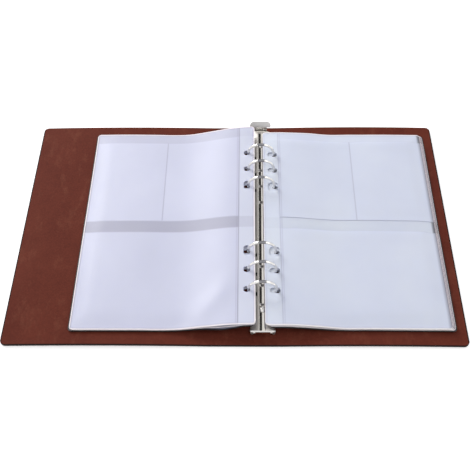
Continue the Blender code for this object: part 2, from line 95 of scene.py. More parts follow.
def linear(code: str) -> tuple[float, float, float, float]:
    """Turn an sRGB hex colour into linear light.

    Args:
        code: Six hex digits after a hash sign.

    Returns:
        Red, green, blue and an alpha of 1.
    """
    parts = np.array([int(code[i : i + 2], 16) for i in (1, 3, 5)]) / 255.0
    light = np.where(parts <= 0.04045, parts / 12.92, ((parts + 0.055) / 1.055) ** 2.4)
    return (*light.tolist(), 1.0)


def add_node(
    tree: bpy.types.NodeTree, kind: str, inputs: dict | None = None, **settings: object
) -> bpy.types.Node:
    """Add one shader node with its settings, values and links.

    Args:
        tree: The node tree that gets the node.
        kind: Blender's name for the node type.
        inputs: Socket name or number to a plain value or to the socket that feeds it.
        settings: The node's own properties.

    Returns:
        The new node.
    """
    node = tree.nodes.new(kind)
    for name, value in settings.items():
        setattr(node, name, value)
    for name, value in (inputs or {}).items():
        if isinstance(value, bpy.types.NodeSocket):
            tree.links.new(value, node.inputs[name])
        else:
            node.inputs[name].default_value = value
    return node


def start_material(name: str, **values: object) -> tuple[bpy.types.Material, bpy.types.NodeTree, object]:
    """Make a Principled material and set its uniform values on the shader itself.

    Args:
        name: The material's name.
        values: Principled socket names, with underscores for spaces.

    Returns:
        The material, its node tree and its Principled node.
    """
    made = bpy.data.materials.new(name)
    made.use_nodes = True
    shader = made.node_tree.nodes["Principled BSDF"]
    for key, value in values.items():
        shader.inputs[key.replace("_", " ")].default_value = value
    return made, made.node_tree, shader


def smooth(value: np.ndarray) -> np.ndarray:
    """Ease from 0 to 1 with level ends: t squared times (3 - 2t) of the value t held to 0..1."""
    held = np.clip(value, 0.0, 1.0)
    return held * held * (3.0 - 2.0 * held)


def hump(value: np.ndarray, centre: float, reach: float) -> np.ndarray:
    """A bell of height 1 and the given half width: a Gaussian of the distance from the centre."""
    return np.exp(-(((value - centre) / reach) ** 2))


def filled(lines: np.ndarray, step: float) -> np.ndarray:
    """Sort grid lines and split every gap that is wider than a step.

    Args:
        lines: The lines that the grid has to hold.
        step: The widest gap allowed.

    Returns:
        The lines with even ones added between them.
    """
    fixed = np.unique(np.round(lines, 7))
    counts = np.maximum(np.ceil(np.diff(fixed) / step - 1e-6), 1.0).astype(int)
    pieces = [np.linspace(a, b, n, endpoint=False) for a, b, n in zip(fixed[:-1], fixed[1:], counts)]
    return np.append(np.concatenate(pieces), fixed[-1])


def eased(before: np.ndarray, line: np.ndarray, after: np.ndarray, reach: float) -> np.ndarray:
    """Ease a line of even samples with a Gaussian.

    Args:
        before: How the line goes on ahead of its start, as many samples as the Gaussian has on one side.
        line: The samples.
        after: How it goes on past its end, as many again.
        reach: The Gaussian's half width in samples.

    Returns:
        The eased samples, as many as the line has.
    """
    side = len(before)
    weights = hump(np.arange(-side, side + 1), 0.0, reach)
    return np.convolve(np.concatenate([before, line, after]), weights / weights.sum(), mode="valid")


@dataclass
class Surface:
    """Grids of points that are gathered into one mesh."""

    points: list[np.ndarray] = field(default_factory=list)
    quads: list[np.ndarray] = field(default_factory=list)
    slots: list[np.ndarray] = field(default_factory=list)
    marks: dict[str, list[np.ndarray]] = field(default_factory=dict)
    count: int = 0

    def add_grid(
        self,
        grid: np.ndarray,
        slot: int | np.ndarray = 0,
        wrap: bool = False,
        flip: bool = False,
        keep: np.ndarray | None = None,
        marks: dict[str, np.ndarray] | None = None,
    ) -> None:
        """Add a grid of points as quads, whose normal is the row direction crossed with the column direction.

        Args:
            grid: Rows by columns by three coordinates.
            slot: Material slot, for all faces or for each one.
            wrap: Whether the last column joins the first.
            flip: Whether the faces are turned over.
            keep: Which faces stay, where some are left out.
            marks: Named values for each point, for the material to read.
        """
        rows, columns = grid.shape[:2]
        index = np.arange(rows * columns).reshape(rows, columns) + self.count
        if wrap:
            index = np.concatenate([index, index[:, :1]], axis=1)
        corners = [index[:-1, :-1], index[1:, :-1], index[1:, 1:], index[:-1, 1:]]
        quads = np.stack(corners[::-1] if flip else corners, axis=-1)
        slots = np.broadcast_to(np.asarray(slot), quads.shape[:2])
        if keep is None:
            keep = np.ones(quads.shape[:2], bool)
        self.points.append(grid.reshape(-1, 3))
        self.quads.append(quads[keep])
        self.slots.append(slots[keep])
        for name, values in (marks or {}).items():
            self.marks.setdefault(name, []).append(np.broadcast_to(values, (rows, columns)).ravel())
        self.count += rows * columns

    def add_lathe(self, place: tuple[float, ...], profile: np.ndarray, sides: int, axis: int) -> None:
        """Add a body turned about an axis.

        Args:
            place: A point on the axis.
            profile: Pairs of distance from that point along the axis and radius.
            sides: How many sides the round has.
            axis: The number of the coordinate that the axis runs along.
        """
        turns = np.linspace(0.0, TURN, sides, endpoint=False)
        grid = np.empty((len(profile), sides, 3))
        grid[..., axis] = profile[:, :1]
        grid[..., (axis + 1) % 3] = profile[:, 1:] * np.cos(turns)
        grid[..., (axis + 2) % 3] = profile[:, 1:] * np.sin(turns)
        self.add_grid(grid + np.array(place), wrap=True)

    def build(
        self, name: str, materials: list[bpy.types.Material], sharp: float, wall: float = 0.0
    ) -> bpy.types.Object:
        """Make the mesh object, with its doubles merged and its walls thickened inwards.

        Args:
            name: The piece's name.
            materials: One material for each slot.
            sharp: Angle in degrees past which an edge is shaded as a sharp one.
            wall: Thickness of a thin wall, or 0 for a shape that is closed already.

        Returns:
            The new object, linked to the scene.
        """
        points = np.concatenate(self.points).astype(np.float32)
        quads = np.concatenate(self.quads).astype(np.int32)
        mesh = bpy.data.meshes.new(name)
        mesh.vertices.add(len(points))
        mesh.vertices.foreach_set("co", points.ravel())
        mesh.loops.add(quads.size)
        mesh.loops.foreach_set("vertex_index", quads.ravel())
        mesh.polygons.add(len(quads))
        mesh.polygons.foreach_set("loop_start", np.arange(0, quads.size, 4, dtype=np.int32))
        mesh.polygons.foreach_set("material_index", np.concatenate(self.slots).astype(np.int32))
        for mark, values in self.marks.items():
            layer = mesh.attributes.new(mark, "FLOAT", "POINT")
            layer.data.foreach_set("value", np.concatenate(values).astype(np.float32))
        mesh.update(calc_edges=True)
        merged = bmesh.new()
        merged.from_mesh(mesh)
        bmesh.ops.remove_doubles(merged, verts=merged.verts[:], dist=MERGE)
        merged.to_mesh(mesh)
        merged.free()
        made = bpy.data.objects.new(name, mesh)
        bpy.context.scene.collection.objects.link(made)
        if wall > 0.0:
            self.thicken(made, wall)
        for material in materials:
            made.data.materials.append(material)
        made.data.shade_smooth()
        made.data.set_sharp_from_angle(angle=math.radians(sharp))
        return made

    @staticmethod
    def thicken(made: bpy.types.Object, wall: float) -> None:
        """Give a thin surface its wall, inwards from its faces, and keep the result as the mesh.

        Args:
            made: The object that holds the surface.
            wall: The wall's thickness.
        """
        change = made.modifiers.new("wall", "SOLIDIFY")
        change.thickness = wall
        change.offset = -1.0
        change.use_even_offset = True
        graph = bpy.context.evaluated_depsgraph_get()
        thick = bpy.data.meshes.new_from_object(made.evaluated_get(graph))
        thin = made.data
        made.modifiers.clear()
        made.data = thick
        bpy.data.meshes.remove(thin)


def hand_over(piece: bpy.types.Object, body: str = "", replaced: str = "") -> None:
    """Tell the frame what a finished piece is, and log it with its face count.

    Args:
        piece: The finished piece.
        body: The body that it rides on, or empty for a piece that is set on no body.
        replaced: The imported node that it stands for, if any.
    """
    if replaced:
        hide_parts(replaced)
    if body:
        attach(piece, body)
    LOG.info("%s: %d faces", piece.name, len(piece.data.polygons))


@dataclass(frozen=True)
class LeatherFinish:
    """Polyurethane leather, cast on a cloth and buffed: a dull brown skin with a fine pebble grain.

    Its colour wanders in soft patches, it shows pale rub marks, and its gloss is low and broken by the grain.
    """

    name: str
    base: str
    deep: str
    pale: str
    roughness: float
    grain_mm: float = 1.7  # drawn coarser: the real grain, about 0.5 mm, is too fine to show
    patch_mm: float = 38.0
    rub_mm: float = 9.0

    def make(self) -> bpy.types.Material:
        """Make the material: slow noise for patches and rub marks, cells and fine noise for the grain.

        Returns:
            The leather.
        """
        made, tree, shader = start_material(
            self.name, Roughness=self.roughness, IOR=1.46, Specular_IOR_Level=0.1
        )
        where = add_node(tree, "ShaderNodeTexCoord").outputs["Object"]
        patches = add_node(
            tree,
            "ShaderNodeTexNoise",
            {"Vector": where, "Scale": 1000.0 / self.patch_mm, "Detail": 8.0, "Roughness": 0.68},
        )
        stretched = add_node(
            tree,
            "ShaderNodeMapping",
            {"Vector": where, "Rotation": (0.0, 0.0, 0.5), "Scale": (1.0, 0.5, 1.0)},
        )
        rubs = add_node(
            tree,
            "ShaderNodeTexNoise",
            {"Vector": stretched.outputs[0], "Scale": 1000.0 / self.rub_mm, "Detail": 5.0, "Roughness": 0.65},
        )
        grain = add_node(tree, "ShaderNodeTexVoronoi", {"Vector": where, "Scale": 1000.0 / self.grain_mm})
        fine = add_node(
            tree, "ShaderNodeTexNoise", {"Vector": where, "Scale": 3000.0 / self.grain_mm, "Detail": 3.0}
        )
        patch_share = add_node(
            tree,
            "ShaderNodeMapRange",
            {"Value": patches.outputs[0], "From Min": 0.35, "From Max": 0.68},
        )
        ground = add_node(
            tree,
            "ShaderNodeMix",
            {0: patch_share.outputs[0], 6: linear(self.deep), 7: linear(self.base)},
            data_type="RGBA",
        )
        rub_share = add_node(
            tree,
            "ShaderNodeMapRange",
            {"Value": rubs.outputs[0], "From Min": 0.53, "From Max": 0.78, "To Max": 0.45},
        )
        rubbed = add_node(
            tree,
            "ShaderNodeMix",
            {0: rub_share.outputs[0], 6: ground.outputs[2], 7: linear(self.pale)},
            data_type="RGBA",
        )
        pits = add_node(
            tree,
            "ShaderNodeMapRange",
            {"Value": grain.outputs["Distance"], "From Max": 0.75, "To Min": 1.0, "To Max": 0.84},
        )
        speckle = add_node(
            tree,
            "ShaderNodeMapRange",
            {"Value": fine.outputs[0], "From Min": 0.3, "From Max": 0.7, "To Min": 0.9, "To Max": 1.1},
        )
        tone = add_node(
            tree, "ShaderNodeMath", {0: pits.outputs[0], 1: speckle.outputs[0]}, operation="MULTIPLY"
        )
        colour = add_node(
            tree, "ShaderNodeVectorMath", {0: rubbed.outputs[2], 3: tone.outputs[0]}, operation="SCALE"
        )
        tree.links.new(colour.outputs[0], shader.inputs["Base Color"])
        height = add_node(
            tree,
            "ShaderNodeMath",
            {0: grain.outputs["Distance"], 1: -0.7, 2: fine.outputs[0]},
            operation="MULTIPLY_ADD",
        )
        bump = add_node(
            tree,
            "ShaderNodeBump",
            {"Strength": 0.35, "Distance": 0.12 * MM, "Height": height.outputs[0]},
        )
        tree.links.new(bump.outputs[0], shader.inputs["Normal"])
        return made


@dataclass(frozen=True)
class EdgePaintFinish:
    """Acrylic edge paint, brushed along a cut edge: near black, half dull, with small runs along it."""

    name: str = "edge_paint"
    base: str = "#1A0F0F"
    worn: str = "#281614"
    run_mm: float = 2.5

    def make(self) -> bpy.types.Material:
        """Make the material: one noise gives the worn colour and the uneven coat.

        Returns:
            The paint.
        """
        made, tree, shader = start_material(
            self.name, Roughness=0.6, IOR=1.49, Specular_IOR_Level=0.1
        )
        where = add_node(tree, "ShaderNodeTexCoord").outputs["Object"]
        runs = add_node(
            tree, "ShaderNodeTexNoise", {"Vector": where, "Scale": 1000.0 / self.run_mm, "Detail": 3.0}
        )
        share = add_node(
            tree, "ShaderNodeMapRange", {"Value": runs.outputs[0], "From Min": 0.5, "From Max": 0.75}
        )
        colour = add_node(
            tree,
            "ShaderNodeMix",
            {0: share.outputs[0], 6: linear(self.base), 7: linear(self.worn)},
            data_type="RGBA",
        )
        tree.links.new(colour.outputs[2], shader.inputs["Base Color"])
        bump = add_node(
            tree, "ShaderNodeBump", {"Strength": 0.2, "Distance": 0.1 * MM, "Height": runs.outputs[0]}
        )
        tree.links.new(bump.outputs[0], shader.inputs["Normal"])
        return made


@dataclass(frozen=True)
class FilmFinish:
    """Frosted polypropylene film, embossed and heat welded: milky, cool white and half clear.

    Two films lie over each other in a pocket, so it is milkier there than on the bare strips. Welds are
    squeezed clear and look like grey lines. The outer weld carries painted shade, which stands partly for
    the dark cover seen through it, and the cut rim carries a painted highlight.
    """

    name: str
    pocket: str
    strip: str
    border: str
    weld: str
    margin: str
    # rim is the colour of the painted highlight along the cut edges.
    rim: str
    # shade is the colour of the painted shade on the outer weld and of the painted shadow along the lowest
    # sheet's edge.
    shade: str = "#231A1C"
    alpha: float = 0.86
    strip_alpha: float = 0.74
    border_alpha: float = 0.55
    emboss_mm: float = 1.1  # drawn coarser: the real frosting, about 0.2 mm, is too fine to show
    cloud_mm: float = 55.0

    def make(self) -> bpy.types.Material:
        """Make the material: the sheet's own marks choose the colour and how clear it is.

        Returns:
            The film.
        """
        made, tree, shader = start_material(
            self.name,
            Roughness=0.42,
            IOR=1.49,
            Subsurface_Weight=1.0,
            Subsurface_Radius=(1.0, 1.0, 1.0),
            Subsurface_Scale=0.25 * MM,
        )
        where = add_node(tree, "ShaderNodeTexCoord").outputs["Object"]
        marks = {
            name: add_node(tree, "ShaderNodeAttribute", attribute_name=name).outputs["Fac"]
            for name in ("margin", "strip", "border", "weld", "shade", "rim")
        }
        colour = linear(self.pocket)
        for name, share in marks.items():
            mixed = add_node(
                tree, "ShaderNodeMix", {0: share, 6: colour, 7: linear(getattr(self, name))}, data_type="RGBA"
            )
            colour = mixed.outputs[2]
        clouds = add_node(
            tree, "ShaderNodeTexNoise", {"Vector": where, "Scale": 1000.0 / self.cloud_mm, "Detail": 3.0}
        )
        tone = add_node(
            tree,
            "ShaderNodeMapRange",
            {"Value": clouds.outputs[0], "From Min": 0.3, "From Max": 0.7, "To Min": 0.965, "To Max": 1.02},
        )
        toned = add_node(tree, "ShaderNodeVectorMath", {0: colour, 3: tone.outputs[0]}, operation="SCALE")
        tree.links.new(toned.outputs[0], shader.inputs["Base Color"])
        clear = add_node(
            tree,
            "ShaderNodeMath",
            {0: marks["strip"], 1: self.strip_alpha - self.alpha, 2: self.alpha},
            operation="MULTIPLY_ADD",
        )
        clearer = add_node(
            tree,
            "ShaderNodeMath",
            {0: marks["border"], 1: self.border_alpha - self.alpha, 2: clear.outputs[0]},
            operation="MULTIPLY_ADD",
        )
        # The painted shade and the rim's painted highlight make the film opaque where they lie.
        painted_shade_and_highlight = add_node(tree, "ShaderNodeMath", {0: marks["shade"], 1: marks["rim"]}, operation="MAXIMUM")
        opaque = add_node(
            tree, "ShaderNodeMath", {0: clearer.outputs[0], 1: painted_shade_and_highlight.outputs[0]}, operation="MAXIMUM"
        )
        tree.links.new(opaque.outputs[0], shader.inputs["Alpha"])
        emboss = add_node(
            tree, "ShaderNodeTexNoise", {"Vector": where, "Scale": 1000.0 / self.emboss_mm, "Detail": 2.0}
        )
        bump = add_node(
            tree, "ShaderNodeBump", {"Strength": 0.12, "Distance": 0.05 * MM, "Height": emboss.outputs[0]}
        )
        tree.links.new(bump.outputs[0], shader.inputs["Normal"])
        return made


@dataclass(frozen=True)
class PlatedFinish:
    """Steel under bright nickel, or plain strip steel: a mirror broken by faint haze and drawing marks."""

    name: str
    base: str
    haze: str
    rough_low: float
    rough_high: float
    metallic: float = 1.0
    flank: float = 0.0
    haze_mm: float = 7.0
    scratch_mm: float = 0.5  # drawn coarser: real drawing marks, about 0.1 mm, are too fine to show

    def make(self) -> bpy.types.Material:
        """Make the material: a slow noise for haze and a stretched fine one for drawing marks along Y.

        Returns:
            The metal.
        """
        made, tree, shader = start_material(self.name, Metallic=self.metallic)
        where = add_node(tree, "ShaderNodeTexCoord").outputs["Object"]
        haze = add_node(
            tree, "ShaderNodeTexNoise", {"Vector": where, "Scale": 1000.0 / self.haze_mm, "Detail": 3.0}
        )
        colour = add_node(
            tree,
            "ShaderNodeMix",
            {0: haze.outputs[0], 6: linear(self.base), 7: linear(self.haze)},
            data_type="RGBA",
        )
        tree.links.new(colour.outputs[2], shader.inputs["Base Color"])
        stretched = add_node(tree, "ShaderNodeMapping", {"Vector": where, "Scale": (1.0, 0.05, 1.0)})
        lines = add_node(
            tree,
            "ShaderNodeTexNoise",
            {"Vector": stretched.outputs[0], "Scale": 1000.0 / self.scratch_mm, "Detail": 2.0},
        )
        both = add_node(
            tree,
            "ShaderNodeMath",
            {0: haze.outputs[0], 1: lines.outputs[0]},
            operation="MULTIPLY",
        )
        rough = add_node(
            tree,
            "ShaderNodeMapRange",
            {
                "Value": both.outputs[0],
                "From Min": 0.1,
                "From Max": 0.45,
                "To Min": self.rough_low,
                "To Max": self.rough_high,
            },
        )
        flank = add_node(tree, "ShaderNodeAttribute", attribute_name="flank")
        dulled = add_node(
            tree,
            "ShaderNodeMath",
            {0: flank.outputs["Fac"], 1: self.flank, 2: rough.outputs[0]},
            operation="MULTIPLY_ADD",
        )
        tree.links.new(dulled.outputs[0], shader.inputs["Roughness"])
        bump = add_node(
            tree, "ShaderNodeBump", {"Strength": 0.04, "Distance": 0.02 * MM, "Height": lines.outputs[0]}
        )
        tree.links.new(bump.outputs[0], shader.inputs["Normal"])
        return made


@dataclass(frozen=True)
class Finishes:
    """Every material of the binder, made once."""

    skin: bpy.types.Material
    lining: bpy.types.Material
    edge: bpy.types.Material
    front_film: bpy.types.Material
    back_film: bpy.types.Material
    nickel: bpy.types.Material
    rail: bpy.types.Material
    satin: bpy.types.Material
    steel: bpy.types.Material

    @classmethod
    def make(cls) -> "Finishes":
        """Make all the materials, each from its own finish.

        Returns:
            The materials together.
        """
        return cls(
            skin=LeatherFinish(
                "pu_leather_skin", base="#693327", deep="#5A2A21", pale="#7E4A3B", roughness=0.55
            ).make(),
            lining=LeatherFinish(
                "pu_leather_lining", base="#6A3124", deep="#5F291E", pale="#814B39", roughness=0.66
            ).make(),
            edge=EdgePaintFinish().make(),
            # The front film's pockets and margin are drawn a little darker than the back film's: painted
            # shade that evens out the light between the two stacks.
            front_film=FilmFinish(
                "frosted_film_front",
                pocket="#DBDDF0",
                strip="#C8C8DA",
                border="#DDD3DE",
                weld="#B0AEC3",
                margin="#DFE2F2",
                # Painted highlight on the cut rims.
                rim="#FFF2F6",
            ).make(),
            back_film=FilmFinish(
                "frosted_film_back",
                pocket="#DFE4F6",
                strip="#E3E8F8",
                border="#C8C2D2",
                weld="#B4B4C8",
                margin="#E3E8F8",
                # Painted highlight on the cut rims.
                rim="#FFF4F8",
            ).make(),
            nickel=PlatedFinish(
                "bright_nickel_plate", base="#EFEDEA", haze="#DDDBD7", rough_low=0.06, rough_high=0.2
            ).make(),
            rail=PlatedFinish(
                "rail_nickel_plate",
                base="#DEDAD4",
                haze="#D2CEC8",
                rough_low=0.02,
                rough_high=0.08,
                flank=0.42,
            ).make(),
            satin=PlatedFinish(
                "satin_nickel_plate",
                base="#EAE8E6",
                haze="#DAD8D6",
                rough_low=0.45,
                rough_high=0.6,
                metallic=0.4,
            ).make(),
            steel=PlatedFinish(
                "strip_steel", base="#98979A", haze="#7C7B80", rough_low=0.25, rough_high=0.42
            ).make(),
        )


@dataclass
class Cover:
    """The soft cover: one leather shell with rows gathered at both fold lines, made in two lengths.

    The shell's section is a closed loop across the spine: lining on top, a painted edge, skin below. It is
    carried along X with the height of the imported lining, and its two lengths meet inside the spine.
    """

    finishes: Finishes
    nodes: dict[str, bpy.types.Object]
    half_width: float = 184.4 * MM
    half_height: float = 116.8 * MM
    corner: float = 4.5 * MM
    thick: float = 3.0 * MM
    edge: float = 1.1 * MM
    edge_power: float = 0.45
    edge_steps: int = 6
    flat_steps: int = 52
    step: float = 3.5 * MM
    split: float = -7.1 * MM
    bend_reach: float = 6.0 * MM
    creases: tuple[float, ...] = (14.2 * MM, -15.4 * MM)
    crease_depth: float = 0.28 * MM
    crease_reach: float = 1.1 * MM
    wave: float = 0.12 * MM
    wave_lengths: tuple[float, float] = (31.0 * MM, 44.0 * MM)
    samples: int = 369
    ease_side: int = 15
    ease_reach: float = 6.0

    def lining_height(self, x: np.ndarray) -> np.ndarray:
        """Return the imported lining's top along X: the highest vertex at each station, joined and eased.

        Args:
            x: Stations along X.

        Returns:
            The height at each station.
        """
        names = ("front_cover_lining", "spine_lining", "back_cover_lining")
        found = [np.array([v.co for v in self.nodes[name].data.vertices]) for name in names]
        places = np.concatenate(found)
        stations = np.unique(np.round(places[:, 0], 4))
        near = 0.2 * MM
        tops = np.array([places[np.abs(places[:, 0] - s) < near, 2].max() for s in stations])
        samples = np.linspace(-self.half_width, self.half_width, self.samples)
        line = np.interp(samples, stations, tops)
        level = np.ones(self.ease_side)
        return np.interp(x, samples, eased(line[0] * level, line, line[-1] * level, self.ease_reach))

    def stations(self, low: float, high: float, outer: float) -> tuple[np.ndarray, np.ndarray]:
        """Return the rows of one length along X and the share of the thickness that each keeps.

        At the outer end the rows follow the painted edge: x goes out with the cosine and the thickness
        down with the sine of the same angle, both raised to the edge's power. A last row closes each end.

        Args:
            low: The lower end.
            high: The higher end.
            outer: Whichever end is the cover's own edge.

        Returns:
            The rows along X and their shares of the thickness.
        """
        inner = low if outer == high else high
        away = math.copysign(1.0, outer)
        start = outer - away * self.edge
        folds = [f + np.linspace(-self.bend_reach, self.bend_reach, 17) for f in (FOLD_START, FOLD_END)]
        marks = [c + self.crease_reach * np.linspace(-2.0, 2.0, 9) for c in self.creases]
        turn = outer - away * self.corner * (1.0 - np.sin(np.linspace(0.0, QUARTER, 7)))
        lines = np.concatenate([[inner, start], *folds, *marks, turn])
        lines = filled(lines[(lines >= min(inner, start)) & (lines <= max(inner, start))], self.step)
        angles = np.linspace(QUARTER, 0.0, self.edge_steps + 1)[1:]
        ends = start + away * self.edge * np.cos(angles) ** self.edge_power
        kept = np.sin(angles) ** self.edge_power
        kept[-1] = 0.0
        body = lines if away > 0.0 else lines[::-1]
        return np.concatenate([[inner], body, ends]), np.concatenate([[0.0], np.ones(len(body)), kept])

    def section(self) -> tuple[np.ndarray, np.ndarray, np.ndarray]:
        """Return the loop round the section: place across, place through, and material slot of each step.

        The loop runs over the lining, down the painted edge as a squared superellipse, back under the skin
        and up the other edge. Across is split in the flat share (-1 to 1) and the edge share (0 to 1). The
        lining goes on over the first two steps of each edge, where the leather turns down.

        Returns:
            Both shares across, the share through (1 on top, -1 below) and the slots.
        """
        flat = np.linspace(-1.0, 1.0, self.flat_steps + 1)
        angles = np.linspace(QUARTER, -QUARTER, 2 * self.edge_steps + 1)[1:-1]
        out = np.cos(angles) ** self.edge_power
        through = np.sign(np.sin(angles)) * np.abs(np.sin(angles)) ** self.edge_power
        ends = np.ones(len(angles))
        across = np.concatenate([flat, ends, flat[::-1], -ends])
        outwards = np.concatenate([0.0 * flat, out, 0.0 * flat, -out])
        level = np.concatenate([1.0 + 0.0 * flat, through, 0.0 * flat - 1.0, through[::-1]])
        skin, lining, paint = 0, 1, 2
        painted = len(angles) - 1
        order = [lining, paint, skin, paint, lining]
        slots = np.repeat(order, [self.flat_steps + 2, painted, self.flat_steps, painted, 2])
        return np.stack([across, outwards]), level, slots

    def shell(self, name: str, low: float, high: float) -> bpy.types.Object:
        """Make one length of the shell.

        Args:
            name: The piece's name.
            low: Its lower end along X.
            high: Its higher end along X.

        Returns:
            The new piece.
        """
        outer = max(low, high, key=abs)
        rows, shares = self.stations(low, high, outer)
        across, level, slots = self.section()
        inside = np.clip(self.corner - (self.half_width - np.abs(rows)), 0.0, self.corner)
        half = self.half_height - self.corner + np.sqrt(self.corner**2 - inside**2)
        y = (half - self.edge)[:, None] * across[0] + self.edge * across[1]
        x = np.broadcast_to(rows[:, None], y.shape)
        top = self.lining_height(rows)[:, None]
        middle = top - self.thick / 2.0
        z = middle + (self.thick / 2.0) * shares[:, None] * level
        lit = (level > 0.99) & (shares[:, None] > 0.0)
        grooves = sum(hump(x, c, self.crease_reach) for c in self.creases) * self.crease_depth
        long, wide = self.wave_lengths
        waves = self.wave * (np.sin(x / long + 1.0) * np.sin(y / wide))
        z = np.where(lit, z - grooves + waves - self.wave, z)
        grid = np.stack([x, y, z], axis=-1)
        painted = np.minimum(shares[:-1], shares[1:])[:, None] < 0.999
        painted[0] = False
        slot = np.where(painted, 2, np.broadcast_to(slots, (len(rows) - 1, len(slots))))
        surface = Surface()
        surface.add_grid(grid, slot=slot, wrap=True, flip=outer > 0.0)
        finish = self.finishes
        return surface.build(name, [finish.skin, finish.lining, finish.edge], sharp=50.0)

    def build(self) -> None:
        """Make both lengths, hide the imported cover's layers and hand the lengths over."""
        back = self.shell("back_cover_shell", self.split, self.half_width)
        front = self.shell("front_cover_shell", -self.half_width, self.split)
        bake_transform(back)
        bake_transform(front)
        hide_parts("back_cover_skin", "back_cover_board", "back_cover_lining", "spine_skin")
        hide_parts("front_cover_skin", "front_cover_board", "front_cover_lining", "spine_lining")
        for piece in (back, front):
            hand_over(piece)


@dataclass
class SleeveStack:
    """One stack of punched pocket sleeves, each a backing sheet and a welded pocket film.

    A sheet is worked out flat, with u from its punched edge and v along the spine, and then laid on the
    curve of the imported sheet. Grid lines gather at the welds, so that they are drawn sharply.
    """

    side: Side
    film: bpy.types.Material
    nodes: dict[str, bpy.types.Object]
    slips: tuple[float, ...]
    seam_share: float
    # How strongly painted shade darkens the outer weld; it also thins the rim's painted highlight along the
    # sides.
    shade_share: float
    height: float
    # The sheet's outline, its two films and the grid.
    width: float = 147.6 * MM
    middle: float = -0.6 * MM
    corner: float = 3.0 * MM
    corner_reach: float = 6.0 * MM
    backing: float = 0.3 * MM
    pocket_film: float = 0.25 * MM
    step: float = 3.2 * MM
    # The punched holes. The middle pair are slots, and the sheets below have closer holes.
    hole_in: float = 7.0 * MM
    hole_radius: float = 2.8 * MM
    lower_hole: float = 1.55 * MM
    hole_play: float = 0.4 * MM
    back_swing: float = 0.5 * MM
    front_swing: float = 0.7 * MM
    front_wire: float = 0.65 * MM
    slot_half: float = 2.0 * MM
    slots_within: float = 40.0 * MM
    patch_half: float = 4.2 * MM
    lower_patch: float = 0.75 * MM
    slipped_patch: float = 0.18 * MM
    patch_steps: int = 8
    slip_share: float = 0.46
    # The welds, the pockets between them and how they are drawn.
    seam: float = 14.1 * MM
    divider: float = 80.6 * MM
    weld: float = 1.5 * MM
    outer_weld: float = 4.0 * MM
    border: float = 1.3 * MM
    upper_top: float = 92.6 * MM
    upper_bottom: float = 1.0 * MM
    lower_top: float = -11.2 * MM
    pocket_gap: float = 0.3 * MM
    weld_gap: float = 0.05 * MM
    pocket_ease: float = 12.0 * MM
    gape: float = 0.35 * MM
    mouth_gape: float = 0.5 * MM
    mouth: float = 16.0 * MM
    line: float = 0.35 * MM
    soft: float = 0.6 * MM
    # shade_soft eases in the painted shade on the outer weld, shadow is the width of the painted shadow along
    # the lowest sheet's edge, and rim is the width of the painted highlight on the cut edges.
    shade_soft: float = 2.4 * MM
    shadow: float = 1.5 * MM
    rim: float = 0.95 * MM
    rim_line: float = 1.6 * MM
    rim_soft: float = 0.4 * MM
    # How the sheets lie: free edges sink, front corners hang or perk up, far back corners settle.
    sink: float = 0.5 * MM
    sink_reach: float = 16.0 * MM
    bound: float = 40.0 * MM
    bound_ease: float = 25.0 * MM
    droop: float = 2.0 * MM
    hang_place: float = 24.0 * MM
    hang_reach: float = 13.0 * MM
    hang_start: float = 5.0 * MM
    hang_ease: float = 9.0 * MM
    perk: float = 2.1 * MM
    perk_reach: float = 42.0 * MM
    near_perk: float = 0.2
    end_reach: float = 26.0 * MM
    settle: float = 0.75 * MM
    settle_reach: float = 17.0 * MM
    settle_all: float = 0.4 * MM
    settle_start: float = 12.0 * MM
    settle_run: float = 60.0 * MM
    spare: float = 0.7 * MM
    spare_reach: float = 8.0 * MM
    wave: float = 0.45 * MM
    wave_along: float = 27.0 * MM
    wave_across: float = 40.0 * MM
    cross_wave: float = 0.2 * MM
    cross_along: float = 80.0 * MM
    cross_across: float = 13.0 * MM
    still: float = 14.0 * MM
    still_ease: float = 30.0 * MM
    fold: float = 1.15 * MM
    fold_lean: float = 54.0
    fold_place: tuple[float, float] = (-27.0 * MM, -96.0 * MM)
    fold_reach: float = 9.0 * MM
    fold_middle: float = 16.0 * MM
    fold_run: float = 24.0 * MM
    sample: float = 1.0 * MM
    ease_side: int = 12
    ease_reach: float = 5.6

    @property
    def count(self) -> int:
        """How many sheets the stack has."""
        return len(self.slips)

    @property
    def top(self) -> float:
        """Where the sheets end, away from the reader."""
        return self.middle + self.height / 2.0

    @property
    def foot(self) -> float:
        """Where the sheets end, towards the reader."""
        return self.middle - self.height / 2.0

    @property
    def lower_border(self) -> float:
        """The clear border of the sheets under the top one, three times as wide as its own."""
        return 3.0 * self.border

    def node(self, level: int) -> str:
        """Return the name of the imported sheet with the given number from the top."""
        return f"{self.side.name.lower()}_sleeve_{level}"

    def edge_distance(self, u: np.ndarray, v: np.ndarray) -> np.ndarray:
        """Return how far points are from the sheet's nearest cut edge."""
        return np.minimum(np.minimum(u, self.width - u), np.minimum(self.top - v, v - self.foot))

    def near(self, *places: float) -> np.ndarray:
        """Return grid lines gathered round each place, for a drawn line there."""
        spread = self.line * np.array([-2.5, -1.0, -0.5, 0.0, 0.5, 1.0, 2.5])
        return (np.array(places)[:, None] + spread).ravel()

    def lengths(self, level: int) -> np.ndarray:
        """Return half the length of each hole's patch along v: the middle pair are slots."""
        slot_half = self.slot_half if self.punched_wide(level) else 0.0
        return np.where(np.abs(RING_YS) < self.slots_within, self.patch_half + slot_half, self.patch_half)

    def punched_wide(self, level: int) -> bool:
        """Return whether a sheet's holes are seen whole. Those of the sheets below close round the wire."""
        return level <= (2 if self.side is Side.FRONT else 1)

